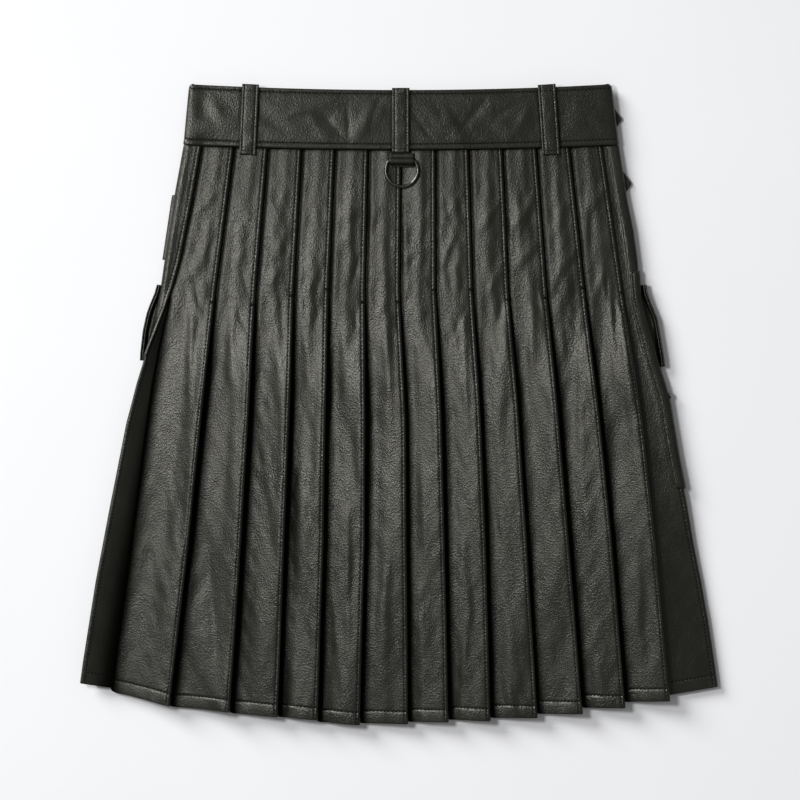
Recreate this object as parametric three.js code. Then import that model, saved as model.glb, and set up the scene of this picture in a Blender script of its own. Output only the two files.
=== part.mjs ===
// Leather utility kilt with thirteen knife-pleat folds, lying flat with its back up.
// Millimetres. +X is the wearer's right, +Y points to the waist, +Z is up from the table.
// "drop" is a distance down from the top of the waistband at the centre back.
import * as THREE from "three";

// Driving sizes
const LEATHER = 1.4; // wall of the skirt panels
const BAND_WALL = 3.0; // waistband, two plies and a stiffener
const SEAM_GAP = 0.3; // between pieces that are sewn or lie together
const LAYER = LEATHER + SEAM_GAP; // one ply on another

const BAND_TOP_RISE = 5.8; // how far the band's ends stand above its middle
const BAND_SEAM_DROP = 57.9; // lower seam of the band at the centre back
const BAND_SEAM_RISE = 4.5; // how far that seam rises towards the sides
const BAND_HALF_WIDTH = 207; // half the flat waist
const BAND_TOP = { left: 204.6, right: 203.6 }; // outline at the band's top edge
const BAND_FOOT = { left: 210.2, right: 210.6 }; // outline at the band's seam

const BACK_BASE_Z = 7.0; // middle of the lowest back ply, from the waist to the thigh
const BACK_HEM_Z = 6.2; // the same at the hem
const FRONT_Z = LEATHER / 2; // middle of the over-apron, flat on the table
const SIDE_RISE = 4.4; // how far the front lifts at the sides, over pockets and buckles
const SIDE_RISE_INNER = 94; // distance in from the side where that lift starts
const SIDE_RISE_OUTER = 72; // and where it is complete
const OVER_EDGE = 86; // free edge of the over-apron, in from the right side
// Columns of the flat fronts, the least run from seam to flat, and how far the under one keeps off the slope
const APRON = { columns: [-50, 0, 50], least: 4, clear: 8 };
const SIDE_WIDTH = { waist: 80, hem: 95 }; // side panel on the front, from the side fold
const SIDE_FALL = { start: 0.62, length: 0.2, left: 0.12 }; // below the pockets the sides settle again
const FRONT_COLUMNS = 3; // columns of a side panel that lie on the front
const SIDE_FLAT = { near: 8, middle: 30, far: 72 }; // columns of a side panel's front, in from the side

const PLEAT_DEPTH = { waist: 15, hem: 25 }; // how far each fold runs back underneath
// Shares of a fold's lift that its panel has along the way
const PLEAT_RISE = { middle: 0.05, tuck: 0.22, face: 0.66, edge: 0.96 };
const FOLD_ROUND = 0.06; // how much wider a fold turns for each millimetre that it stands up
const SHOW_PAST = { side: 1.5, fold: 1 }; // a panel starts to rise this far past the fold before it
const EDGE_BACK = 5; // the face bends a last time this far from the fold
const LIFT_AT_HEM = 0.9; // share of a fold's lift that is left at the hem
const SEAM_SLACK = 3; // how far the first panel's hidden edge moves in once its fold is free
const FELL_END = 0.26; // the folds are sewn down to this share of the skirt's length
const LIFT_FULL = 0.44; // and stand at their full height from here on

// The front panels' hem is one curve that lies a little above the back's.
const FRONT_HEM = { middle: 606, rise: 36, halfWidth: 300, power: 2.2 };
const BACK_SETTLE = { start: 0.62, length: 0.3 }; // where the back's lowest ply comes down to its hem height

// Shares of the skirt's length at which every panel has a section.
const STATIONS = [0, 0.1, 0.2, 0.26, 0.3, 0.34, 0.385, 0.44, 0.52, 0.62, 0.72, 0.82, 0.93, 1];

// One row for each fold, left to right. x of the fold line at five drops, the hem's drop at the panel's
// left and right ends, and how far the fold stands up once it is free.
const FOLD_DROPS = [58, 193, 318, 434, 580];
const FOLDS = [
  { x: [-161.3, -178.5, -192.0, -203.6, -221.0], hem: [579.0, 594.4], lift: 9.0 },
  { x: [-128.5, -139.9, -146.7, -153.4, -163.1], hem: [592.5, 600.2], lift: 8.5 },
  { x: [-95.7, -103.3, -107.1, -111.9, -117.7], hem: [599.3, 605.0], lift: 7.5 },
  { x: [-63.7, -69.5, -72.4, -74.3, -79.1], hem: [603.1, 608.0], lift: 6.5 },
  { x: [-31.3, -34.7, -33.8, -34.7, -38.6], hem: [608.0, 612.8], lift: 6.0 },
  { x: [0.3, -1.0, 4.8, 5.8, 6.8], hem: [610.8, 611.8], lift: 5.0 },
  { x: [33.5, 33.8, 39.6, 42.5, 45.4], hem: [610.0, 610.0], lift: 5.5 },
  { x: [65.4, 69.5, 77.2, 82.0, 85.9], hem: [607.0, 609.0], lift: 5.5 },
  { x: [98.2, 104.2, 113.9, 121.6, 130.3], hem: [606.0, 606.0], lift: 5.0 },
  { x: [131.0, 140.9, 152.5, 162.1, 173.7], hem: [602.2, 602.2], lift: 6.0 },
  { x: [163.1, 177.6, 192.0, 203.6, 215.2], hem: [596.4, 596.4], lift: 6.0 },
  { x: [194.9, 214.2, 232.6, 245.1, 258.6], hem: [591.5, 589.6], lift: 7.0 },
];
const SIDE_HEM = { left: [572.2, 578.0], right: [585.8, 576.2] };
// The stretches of x over which those two hems slant
const SIDE_HEM_SPAN = { left: { from: -310, length: 35 }, right: { from: 250, length: 57 } };

// The left side pleat. Its fold lies on the back as far as the hip, then swings out past the side.
const LEFT_SIDE = [
  { drop: 53, side: -210.0, fold: -192.5, foldZ: 10.4, seam: -203.5 },
  { drop: 106, side: -219.5, fold: -201.7, foldZ: 10.4, seam: -213.0 },
  { drop: 164, side: -228.2, fold: -213.3, foldZ: 10.4, seam: -223.0 },
  { drop: 188, side: -231.8, fold: -220.0, foldZ: 10.6, seam: -226.0 },
  { drop: 209, side: -236.5, fold: -227.3, foldZ: 13.4, seam: -225.0 },
  { drop: 230, side: -241.5, fold: -235.4, foldZ: 16.6, seam: -229.8 },
  { drop: 253, side: -246.2, fold: -244.6, foldZ: 17.6, seam: -234.5 },
  { drop: 282, side: -251.0, fold: -254.5, foldZ: 15.5, seam: -240.0 },
  { drop: 320, side: -257.0, fold: -264.8, foldZ: 14.2, seam: -245.3 },
  { drop: 396, side: -268.5, fold: -279.9, foldZ: 14.0, seam: -254.8 },
  { drop: 473, side: -282.0, fold: -294.3, foldZ: 14.0, seam: -265.4 },
  { drop: 550, side: -295.5, fold: -306.4, foldZ: 13.4, seam: -276.0 },
  { drop: 578, side: -299.5, fold: -310.2, foldZ: 13.2, seam: -279.0 },
];

// Outline of the right side, where the last panel folds round to the front.
const RIGHT_SIDE = [
  { drop: 53, x: 210.6 },
  { drop: 106, x: 219.0 },
  { drop: 135, x: 225.0 },
  { drop: 164, x: 229.0 },
  { drop: 202, x: 231.4 },
  { drop: 219, x: 235.7 },
  { drop: 240, x: 242.0 },
  { drop: 260, x: 246.7 },
  { drop: 280, x: 253.1 },
  { drop: 299, x: 258.8 },
  { drop: 318, x: 261.9 },
  { drop: 357, x: 268.5 },
  { drop: 396, x: 276.3 },
  { drop: 434, x: 282.7 },
  { drop: 473, x: 290.5 },
  { drop: 511, x: 297.2 },
  { drop: 550, x: 303.0 },
  { drop: 579, x: 307.0 },
];
const SIDE_TURN = 1.9; // radius of the right side fold, at the wall's middle
const SIDE_FACE = { middle: 0.45, edge: 9 }; // where the right panel's face bends on its way to that fold
const CORNER = 0.3; // share of a turn's radius left at the middle of a rounded corner
// Radii of the left side's own turn and of its fold, sewn down and free
const LEFT_TURN = { sewn: 2.65, free: 2.2, topIn: 0.6 };
const LEFT_FOLD_RADIUS = { sewn: LAYER / 2, free: 1.3 };

// Pockets and flaps
const POCKET = { top: 0.233, foot: 0.636, frontWidth: 68, backWidth: 8.5, proud: 2.5, pastFold: 5 };
const FLAP = { frontWidth: 62, frontWall: 2.3, edgeWall: 3.2, edgeTop: 9.2 };
// Sections of a flap's edge, in from its outline
const FLAP_BEND = { flat: 10, heel: 4.4, heelZ: 1.25, heelWall: 2.4, lean: 0.2, leanZ: 4.4 };
const FLAP_RIGHT = [
  { drop: 188, x: 237.2 },
  { drop: 196, x: 238.0 },
  { drop: 208, x: 242.4 },
  { drop: 221, x: 247.8 },
  { drop: 238, x: 250.8 },
  { drop: 260, x: 254.4 },
  { drop: 267, x: 255.0 },
];
const FLAP_LEFT = [
  { drop: 188, x: -235.6 },
  { drop: 197, x: -238.2 },
  { drop: 209, x: -243.2 },
  { drop: 217, x: -245.9 },
  { drop: 232, x: -249.2 },
  { drop: 254, x: -251.7 },
  { drop: 261, x: -252.0 },
];
const STUD = { radius: 3.2, height: 1.8, drop: 295.5, sides: 16 };

// Belt loops: x of the middle at the top and foot, and the drops of the two ends.
const LOOP_WALL = 2.4;
const LOOPS = [
  { name: "belt_loop_left", topX: -144.9, footX: -148.0, top: -5.4, foot: 62.8, width: 16.2 },
  { name: "belt_loop_centre", topX: -0.2, footX: -0.2, top: -1.8, foot: 60.8, width: 16.8 },
  { name: "belt_loop_right", topX: 140.4, footX: 144.9, top: -5.2, foot: 62.8, width: 17.2 },
];

// Along a loop: its share of the length, how far it bows up, and its wall there
const LOOP_BOW = [
  { k: 0, rise: 0, wall: 1.6 },
  { k: 0.02, rise: 0, wall: LOOP_WALL },
  { k: 0.1, rise: 0.1, wall: LOOP_WALL },
  { k: 0.3, rise: 0.7, wall: LOOP_WALL },
  { k: 0.5, rise: 0.9, wall: LOOP_WALL },
  { k: 0.7, rise: 0.7, wall: LOOP_WALL },
  { k: 0.9, rise: 0.1, wall: LOOP_WALL },
  { k: 0.98, rise: 0, wall: LOOP_WALL },
  { k: 1, rise: 0, wall: 1.6 },
];

// D-ring and its tab
const RING_WIRE = 1.65; // radius of the wire
const RING_RADIUS = 15.5; // of the bow, at the wire's middle
const RING_CENTRE = { x: 0.8, drop: 77.8 };
const RING_BAR_UP = 8.8; // the straight bar lies this far above the bow's centre
const RING_CLEARANCE = 0.3;
const RING_STEPS = { bow: 24, sides: 10, bar: [-0.8, -0.3, 0.3, 0.8] };
const TAB = { width: 23, top: 61.1, foot: 74.6, wall: 1.4, lead: 1.2, tail: 1.0, proud: 0.1 };
const TAB_ARCH = [10, 50, 90, 130, 170]; // degrees round the bar at which the tab has a section

// Closing straps and their buckles, on the front at the wearer's right
const STRAP = { width: 25, wall: 2.2, point: 7.7, slope: 3, shoulder: 0.52, tip: 2 };
const STRAPS = [
  { name: "upper", tipX: 213.3, tipDrop: 27.8, startX: 124.0 },
  { name: "lower", tipX: 222.7, tipDrop: 90.1, startX: 134.0 },
];
const BUCKLE = { length: 26, halfHeight: 15.4, corner: 3, barWide: 1.5, barThick: 0.8, sides: 8, tipBack: 23.5 };
const STRAP_CLIMB = 6; // inside a buckle the strap climbs from one level to the other this far from its bars

const HIP_PATCH = { top: 101, foot: 163.5, inner: 46, wall: 1.6, proud: 2.6 };

// Colours
const LEATHER_BLACK = { color: 0x2b2c28, roughness: 0.55, metalness: 0 };
const STRAP_BLACK = { color: 0x1d1e1b, roughness: 0.5, metalness: 0 };
const GUNMETAL = { color: 0x4a4b48, roughness: 0.3, metalness: 1 };

// Number helpers
const lerp = (a, b, k) => a + (b - a) * k;
const clamp01 = (k) => Math.min(1, Math.max(0, k));
const ease = (k) => clamp01(k) ** 2 * (3 - 2 * clamp01(k));

// Straight-line reading of a table, by drop; past the last row its last slope goes on.
function readTable(rows, drop, column) {
  let i = 0;
  while (i < rows.length - 2 && drop > rows[i + 1].drop) i += 1;
  const k = (drop - rows[i].drop) / (rows[i + 1].drop - rows[i].drop);
  return lerp(rows[i][column], rows[i + 1][column], k);
}

// Shape of the garment, as functions of x and of the share t of the skirt's length
const bandTop = (x) => -BAND_TOP_RISE * (x / BAND_HALF_WIDTH) ** 2;
const bandSeam = (x) => BAND_SEAM_DROP - BAND_SEAM_RISE * (x / BAND_HALF_WIDTH) ** 2;
const backBaseZ = (t) => lerp(BACK_BASE_Z, BACK_HEM_Z, ease((t - BACK_SETTLE.start) / BACK_SETTLE.length));
const freeLift = (t) => ease((t - FELL_END) / (LIFT_FULL - FELL_END));
const sideWidth = (t) => lerp(SIDE_WIDTH.waist, SIDE_WIDTH.hem, t);
const sideRiseAlong = (t) => lerp(1, SIDE_FALL.left, ease((t - SIDE_FALL.start) / SIDE_FALL.length));
const sideRiseAcross = (inward) => 1 - ease((inward - SIDE_RISE_OUTER) / (SIDE_RISE_INNER - SIDE_RISE_OUTER));
const frontLift = (inward, t) => SIDE_RISE * sideRiseAlong(t) * sideRiseAcross(inward);
// The right side's front is a second ply, so it has less far to rise.
const innerFrontZ = (inward, t) =>
  lerp(FRONT_Z + LAYER, FRONT_Z + SIDE_RISE, sideRiseAlong(t) * sideRiseAcross(inward));
const rightSideX = (drop) => readTable(RIGHT_SIDE, drop, "x");
const leftDrop = (t) => lerp(LEFT_SIDE[0].drop, SIDE_HEM.left[0], t);
const rightDrop = (t) => lerp(RIGHT_SIDE[0].drop, SIDE_HEM.right[1], t);
const leftSideX = (drop) => readTable(LEFT_SIDE, drop, "side");

// x of a fold line at a drop
function foldX(fold, drop) {
  const rows = FOLD_DROPS.map((d, i) => ({ drop: d, x: fold.x[i] }));
  return readTable(rows, drop, "x");
}

// Slanting hem of the back's part of a side panel
function sideHem(side, x) {
  const { from, length } = SIDE_HEM_SPAN[side];
  return lerp(SIDE_HEM[side][0], SIDE_HEM[side][1], clamp01((x - from) / length));
}

const pleatDepth = (t) => lerp(PLEAT_DEPTH.waist, PLEAT_DEPTH.hem, t);

// Hem of the front panels
function frontHem(x) {
  return FRONT_HEM.middle - FRONT_HEM.rise * Math.abs(x / FRONT_HEM.halfWidth) ** FRONT_HEM.power;
}

// Solid builders

// A closed body through rings of equal length. A wall's ring runs along one face and back along the
// other, so its two ends are closed by a strip between the faces; a hoop's last ring meets its first.
function loft(rings, hoop = false) {
  const count = rings[0].length;
  const positions = rings.flat().flatMap((p) => [p.x, p.y, p.z]);
  const faces = [];
  const quad = (a, b, c, d) => faces.push(a, b, c, a, c, d);
  const spans = hoop ? rings.length : rings.length - 1;
  for (let r = 0; r < spans; r += 1) {
    const near = r * count;
    const far = ((r + 1) % rings.length) * count;
    for (let i = 0; i < count; i += 1) {
      const j = (i + 1) % count;
      quad(near + i, near + j, far + j, far + i);
    }
  }
  if (!hoop) {
    const last = (rings.length - 1) * count;
    for (let i = 0; i < count / 2 - 1; i += 1) {
      const opposite = count - 1 - i;
      quad(opposite, opposite - 1, i + 1, i);
      quad(last + i, last + i + 1, last + opposite - 1, last + opposite);
    }
  }
  const geometry = new THREE.BufferGeometry();
  geometry.setAttribute("position", new THREE.Float32BufferAttribute(positions, 3));
  geometry.setIndex(signedVolume(positions, faces) < 0 ? faces.reverse() : faces);
  geometry.computeVertexNormals();
  return geometry;
}

function signedVolume(positions, faces) {
  const at = (i) => new THREE.Vector3(...positions.slice(3 * i, 3 * i + 3));
  let sum = 0;
  for (let i = 0; i < faces.length; i += 3) {
    sum += at(faces[i]).dot(at(faces[i + 1]).cross(at(faces[i + 2])));
  }
  return sum / 6;
}

// One ring of a wall. path holds the points {x, z, drop, wall?} of the wall's middle, in order.
function wallRing(path, wall) {
  const faces = [[], []];
  path.forEach((p, i) => {
    const before = path[Math.max(0, i - 1)];
    const after = path[Math.min(path.length - 1, i + 1)];
    const inDir = unit(p.x - before.x, p.z - before.z) ?? unit(after.x - p.x, after.z - p.z);
    const outDir = unit(after.x - p.x, after.z - p.z) ?? inDir;
    const bend = unit(inDir.x + outDir.x, inDir.z + outDir.z);
    const stretch = Math.min(1.35, 1 / Math.max(0.3, bend.x * inDir.x + bend.z * inDir.z));
    const half = ((p.wall ?? wall) / 2) * stretch;
    faces[0].push(new THREE.Vector3(p.x - bend.z * half, -p.drop, p.z + bend.x * half));
    faces[1].push(new THREE.Vector3(p.x + bend.z * half, -p.drop, p.z - bend.x * half));
  });
  return [...faces[0], ...faces[1].reverse()];
}

function unit(x, z) {
  const length = Math.hypot(x, z);
  return length < 1e-6 ? null : { x: x / length, z: z / length };
}

// One ring of a strap: a flat bar's section with bevelled corners
function strapRing(centre, across, up, width, wall) {
  const w = width / 2;
  const h = wall / 2;
  const bevel = Math.min(h * 0.6, w * 0.6);
  const corners = [
    [-w, h - bevel], [-w + bevel, h], [w - bevel, h], [w, h - bevel],
    [w, -h + bevel], [w - bevel, -h], [-w + bevel, -h], [-w, -h + bevel],
  ];
  return corners.map(([a, b]) => centre.clone().addScaledVector(across, a).addScaledVector(up, b));
}

const kilt = new THREE.Group();

function addPiece(name, geometry, finish) {
  const mesh = new THREE.Mesh(geometry, new THREE.MeshStandardMaterial(finish));
  mesh.name = name;
  kilt.add(mesh);
}

// The start of a pleat's panel: sewn edge, then flat under the fold before it, then out into view
function hiddenStart(seamX, showX, z) {
  return [
    { x: seamX, z },
    { x: lerp(seamX, showX, 0.55), z },
    { x: showX, z },
  ];
}

// Where a panel starts under the fold before it: its sewn edge and the line where it comes into view
function panelStart(index, drop, t) {
  if (index === 0) {
    const seam = readTable(LEFT_SIDE, drop, "seam");
    const fold = readTable(LEFT_SIDE, drop, "fold");
    return { seam: seam - SEAM_SLACK * freeLift(t), show: Math.max(seam, fold) + SHOW_PAST.side };
  }
  const x = foldX(FOLDS[index - 1], drop);
  return { seam: x - pleatDepth(t), show: x + SHOW_PAST.fold };
}

// A knife pleat: the panel rises from under the last fold to its own, turns, and runs back underneath
function pleatPath(index, t) {
  const fold = FOLDS[index];
  const seamRow = bandSeam(foldX(fold, BAND_SEAM_DROP));
  const drop = lerp(seamRow, fold.hem[1], t);
  const start = panelStart(index, drop, t);
  const x = foldX(fold, drop);
  const base = backBaseZ(t);
  const lift = fold.lift * freeLift(t) * lerp(1, LIFT_AT_HEM, t);
  const top = base + 2 * LAYER + lift;
  const turn = LAYER / 2 + FOLD_ROUND * lift;
  const tuck = x - pleatDepth(t);
  return [
    ...hiddenStart(start.seam, start.show, base),
    { x: lerp(start.show, tuck, 0.5), z: base + 0.8 * LAYER + PLEAT_RISE.middle * lift },
    { x: tuck, z: base + 2 * LAYER + PLEAT_RISE.tuck * lift },
    { x: lerp(tuck, x, 0.45), z: base + 2 * LAYER + PLEAT_RISE.face * lift },
    { x: x - EDGE_BACK, z: base + 2 * LAYER + PLEAT_RISE.edge * lift },
    { x: x - turn - LEATHER / 2, z: top },
    { x: x - LEATHER / 2, z: top - turn },
    { x: x - turn - LEATHER / 2, z: top - 2 * turn },
    { x: lerp(x, tuck, 0.5), z: lerp(top - 2 * turn, base + LAYER, 0.55) },
    { x: tuck, z: base + LAYER },
  ];
}

// Each point's drop: the station's share of the way from the band's seam to the panel's slanted hem
function hangFromBand(path, t, hem) {
  const left = path[0].x;
  const right = Math.max(...path.map((p) => p.x));
  return path.map((p) => {
    const across = clamp01((p.x - left) / (right - left));
    return { ...p, drop: lerp(bandSeam(p.x), lerp(hem[0], hem[1], across), t) };
  });
}

function pleat(index) {
  const rings = STATIONS.map((t) => {
    const path = hangFromBand(pleatPath(index, t), t, FOLDS[index].hem);
    return wallRing(path, LEATHER);
  });
  return loft(rings);
}

// The left side pleat: front of the side, round the side, up to the fold and back to its sewn edge
function leftSidePath(t) {
  const drop = leftDrop(t);
  const row = (column) => readTable(LEFT_SIDE, drop, column);
  const side = row("side") + LEATHER / 2;
  const front = (inward) => ({ x: row("side") + inward, z: FRONT_Z + frontLift(inward, t) });
  const swing = freeLift(t);
  const width = sideWidth(t) - SEAM_GAP / 2;
  const turn = lerp(LEFT_TURN.sewn, LEFT_TURN.free, swing);
  const low = front(SIDE_FLAT.near).z;
  const sideTop = { x: side + lerp(turn, LEFT_TURN.topIn, swing), z: low + 2 * turn };
  const tipDir = unit(row("fold") - sideTop.x, row("foldZ") - sideTop.z);
  const radius = lerp(LEFT_FOLD_RADIUS.sewn, LEFT_FOLD_RADIUS.free, swing);
  const tipX = row("fold") - (LEATHER / 2) * Math.sign(row("fold") - side);
  const centre = {
    x: tipX - tipDir.x * radius,
    z: row("foldZ") - tipDir.z * radius - lerp(radius, 0, swing),
  };
  const around = (a, d) => ({
    x: centre.x - tipDir.z * radius * a + tipDir.x * radius * d,
    z: centre.z + tipDir.x * radius * a + tipDir.z * radius * d,
  });
  const end = { x: row("seam"), z: backBaseZ(t) + LAYER };
  const leave = around(-1, 0);
  return [
    front(width),
    front(SIDE_FLAT.far),
    front(SIDE_FLAT.middle),
    { x: side + turn, z: low },
    { x: side, z: low + turn },
    sideTop,
    { x: lerp(sideTop.x, around(1, 0).x, 0.5), z: lerp(sideTop.z, around(1, 0).z, 0.5) },
    around(1, 0),
    around(0, 1),
    leave,
    { x: lerp(leave.x, end.x, 0.5), z: lerp(leave.z, end.z, 0.5) },
    end,
  ];
}

function leftSidePleat() {
  const rings = STATIONS.map((t) => {
    const path = leftSidePath(t).map((p, i) => {
      const hem = i < FRONT_COLUMNS ? frontHem(p.x) : sideHem("left", p.x);
      return { ...p, drop: lerp(bandSeam(p.x), hem, t) };
    });
    return wallRing(path, LEATHER);
  });
  return loft(rings);
}

// The right side panel: out from under the last fold, round the side, and on to the front
function rightSidePath(t, offset = 0) {
  const drop = rightDrop(t);
  const outline = rightSideX(drop);
  const side = outline - LEATHER / 2 + offset;
  const start = panelStart(FOLDS.length, drop, t);
  const base = backBaseZ(t);
  const front = (inward) => ({ x: outline - inward, z: innerFrontZ(inward, t) - offset });
  const low = front(SIDE_FLAT.near).z;
  const turn = SIDE_TURN + offset;
  const top = low + 2 * turn;
  return {
    outline,
    hidden: hiddenStart(start.seam, start.show, base),
    face: [
      { x: lerp(start.show, side, SIDE_FACE.middle), z: lerp(base, top, 0.5) },
      { x: side - SIDE_FACE.edge, z: top - 0.1 },
      { x: side - turn, z: top },
      { x: side - CORNER * turn, z: top - CORNER * turn },
      { x: side, z: top - turn },
      { x: side - CORNER * turn, z: low + CORNER * turn },
      { x: side - turn, z: low },
    ],
    front,
  };
}

function rightSidePanel() {
  const rings = STATIONS.map((t) => {
    const shape = rightSidePath(t);
    const path = [
      ...shape.hidden,
      ...shape.face,
      shape.front(SIDE_FLAT.middle),
      shape.front(SIDE_FLAT.far),
      shape.front(sideWidth(t) - SEAM_GAP / 2),
    ].map((p, i, all) => {
      const hem = i >= all.length - FRONT_COLUMNS ? frontHem(p.x) : sideHem("right", p.x);
      return { ...p, drop: lerp(bandSeam(p.x), hem, t) };
    });
    return wallRing(path, LEATHER);
  });
  return loft(rings);
}

// Flat panels of the front. xs gives the x of each column at a station, zAt the height of the wall's middle.
function apron(edges, zAt) {
  const rings = STATIONS.map((t) => {
    const { xs, inwardOf } = edges(t);
    const path = xs.map((x) => ({
      x,
      z: zAt(inwardOf(x), t),
      drop: lerp(bandSeam(x), frontHem(x), t),
    }));
    return wallRing(path, LEATHER);
  });
  return loft(rings);
}

function overApronEdges(t) {
  const left = leftSideX(leftDrop(t));
  const right = rightSideX(rightDrop(t)) - OVER_EDGE;
  const seam = left + sideWidth(t) + SEAM_GAP / 2;
  const flatFrom = Math.max(left + SIDE_RISE_INNER, seam + APRON.least);
  return {
    xs: [seam, lerp(seam, flatFrom, 0.5), flatFrom, ...APRON.columns, right],
    inwardOf: (x) => x - left,
  };
}

function underApronEdges(t) {
  const left = leftSideX(leftDrop(t)) + SIDE_RISE_INNER + APRON.clear;
  const right = rightSideX(rightDrop(t));
  const seam = right - sideWidth(t) - SEAM_GAP / 2;
  const flatTo = Math.min(right - SIDE_RISE_INNER, seam - APRON.least);
  return {
    xs: [left, ...APRON.columns, flatTo, lerp(seam, flatTo, 0.5), seam],
    inwardOf: (x) => right - x,
  };
}

// Waistband. Each point of the path gets its drops from the band's top edge to its seam.
function bandPiece(pathAt) {
  const rings = [0, 0.5, 1].map((k) =>
    wallRing(
      pathAt(k).map((p) => ({ ...p, drop: lerp(bandTop(p.x), bandSeam(p.x) - SEAM_GAP, k) })),
      BAND_WALL,
    ),
  );
  return loft(rings);
}

const BAND_OVER_Z = BAND_WALL / 2;
const BAND_UNDER_Z = BAND_OVER_Z + BAND_WALL + SEAM_GAP;
const BAND_SIDE_Z = SIDE_RISE + BAND_WALL / 2;
const BAND_TURN = 2.0;
const BAND_BACK_Z = BAND_SIDE_Z + 2 * BAND_TURN;
const bandOutline = (side, k) => lerp(BAND_TOP[side], BAND_FOOT[side], k);

// Height of the band's front layers, which rise towards the sides
const bandFrontZ = (inward, level) => lerp(level, BAND_SIDE_Z, sideRiseAcross(inward));

function bandBackPath(k) {
  const right = bandOutline("right", k);
  const left = bandOutline("left", k);
  const width = SIDE_WIDTH.waist - SEAM_GAP / 2;
  const turnAt = (sign, edge) =>
    [
      { x: sign * (edge - BAND_WALL / 2 - BAND_TURN), z: BAND_SIDE_Z },
      { x: sign * (edge - BAND_WALL / 2 - CORNER * BAND_TURN), z: BAND_SIDE_Z + CORNER * BAND_TURN },
      { x: sign * (edge - BAND_WALL / 2), z: BAND_SIDE_Z + BAND_TURN },
      { x: sign * (edge - BAND_WALL / 2 - CORNER * BAND_TURN), z: BAND_BACK_Z - CORNER * BAND_TURN },
      { x: sign * (edge - BAND_WALL / 2 - BAND_TURN), z: BAND_BACK_Z },
    ];
  const across = [0.75, 0.5, 0.25, 0, -0.25, -0.5, -0.75].map((s) => ({
    x: s * (s > 0 ? right : left),
    z: BAND_BACK_Z,
  }));
  return [
    { x: right - width, z: bandFrontZ(width, BAND_UNDER_Z) },
    { x: right - SIDE_RISE_OUTER, z: BAND_SIDE_Z },
    ...turnAt(1, right),
    ...across,
    ...turnAt(-1, left).reverse(),
    { x: -(left - SIDE_RISE_OUTER), z: BAND_SIDE_Z },
    { x: -(left - width), z: bandFrontZ(width, BAND_OVER_Z) },
  ];
}

function bandOverPath(k) {
  const left = bandOutline("left", k);
  const right = bandOutline("right", k);
  const seam = SIDE_WIDTH.waist + SEAM_GAP / 2;
  const slope = lerp(seam, SIDE_RISE_INNER, 0.5);
  return [
    { x: -(left - seam), z: bandFrontZ(seam, BAND_OVER_Z) },
    { x: -(left - slope), z: bandFrontZ(slope, BAND_OVER_Z) },
    { x: -(left - SIDE_RISE_INNER), z: BAND_OVER_Z },
    ...APRON.columns.map((x) => ({ x, z: BAND_OVER_Z })),
    { x: right - OVER_EDGE, z: BAND_OVER_Z },
  ];
}

function bandUnderPath(k) {
  const left = bandOutline("left", k);
  const right = bandOutline("right", k);
  const seam = SIDE_WIDTH.waist + SEAM_GAP / 2;
  return [
    { x: -(left - SIDE_RISE_INNER - APRON.clear), z: BAND_UNDER_Z },
    ...APRON.columns.map((x) => ({ x, z: BAND_UNDER_Z })),
    { x: right - SIDE_RISE_INNER, z: BAND_UNDER_Z },
    { x: right - seam, z: bandFrontZ(seam, BAND_UNDER_Z) },
  ];
}

// A belt loop lies along the band, slightly bowed, with its ends pressed down.
function beltLoop({ topX, footX, top, foot, width }) {
  const faceZ = BAND_BACK_Z + BAND_WALL / 2 + SEAM_GAP + LOOP_WALL / 2;
  const along = new THREE.Vector3(footX - topX, -(foot - top), 0).normalize();
  const up = new THREE.Vector3(0, 0, 1);
  const across = new THREE.Vector3().crossVectors(along, up);
  return loft(
    LOOP_BOW.map(({ k, rise, wall }) => {
      const centre = new THREE.Vector3(lerp(topX, footX, k), -lerp(top, foot, k), faceZ + rise);
      return strapRing(centre, across, up, width, wall);
    }),
  );
}

const PLEAT_TOP_Z = BACK_BASE_Z + 2 * LAYER + LEATHER / 2;
const RING_Z = PLEAT_TOP_Z + SEAM_GAP + RING_WIRE;
const RING_BAR_DROP = RING_CENTRE.drop - RING_BAR_UP;

// The tab is sewn down above and below the ring's bar and arches over it.
function ringTab() {
  const flatZ = PLEAT_TOP_Z + SEAM_GAP + TAB.wall / 2;
  const arch = RING_WIRE + RING_CLEARANCE + TAB.wall / 2;
  const archPoint = (degrees) => {
    const a = THREE.MathUtils.degToRad(degrees);
    return { drop: RING_BAR_DROP - arch * Math.cos(a), z: RING_Z + arch * Math.sin(a) };
  };
  const path = [
    { drop: TAB.top, z: flatZ },
    { drop: RING_BAR_DROP - arch - TAB.lead, z: flatZ + TAB.proud },
    ...TAB_ARCH.map(archPoint),
    { drop: RING_BAR_DROP + arch + TAB.tail, z: flatZ + TAB.proud },
    { drop: TAB.foot, z: flatZ },
  ];
  const rings = path.map((p, i) => {
    const before = path[Math.max(0, i - 1)];
    const after = path[Math.min(path.length - 1, i + 1)];
    const along = new THREE.Vector3(0, before.drop - after.drop, after.z - before.z).normalize();
    const across = new THREE.Vector3(1, 0, 0);
    const up = new THREE.Vector3().crossVectors(across, along).multiplyScalar(-1);
    return strapRing(new THREE.Vector3(RING_CENTRE.x, -p.drop, p.z), across, up, TAB.width, TAB.wall);
  });
  return loft(rings);
}

// A wire of round or oval section bent into a closed hoop, through its points in order
function hoop(points, wide, thick, sides, normal) {
  const rings = points.map((p, i) => {
    const before = points[(i + points.length - 1) % points.length];
    const after = points[(i + 1) % points.length];
    const along = after.clone().sub(before).normalize();
    const out = new THREE.Vector3().crossVectors(along, normal).normalize();
    const up = new THREE.Vector3().crossVectors(out, along);
    return Array.from({ length: sides }, (_, s) => {
      const a = (2 * Math.PI * s) / sides;
      return p.clone().addScaledVector(out, wide * Math.cos(a)).addScaledVector(up, thick * Math.sin(a));
    });
  });
  return loft(rings, true);
}

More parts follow.
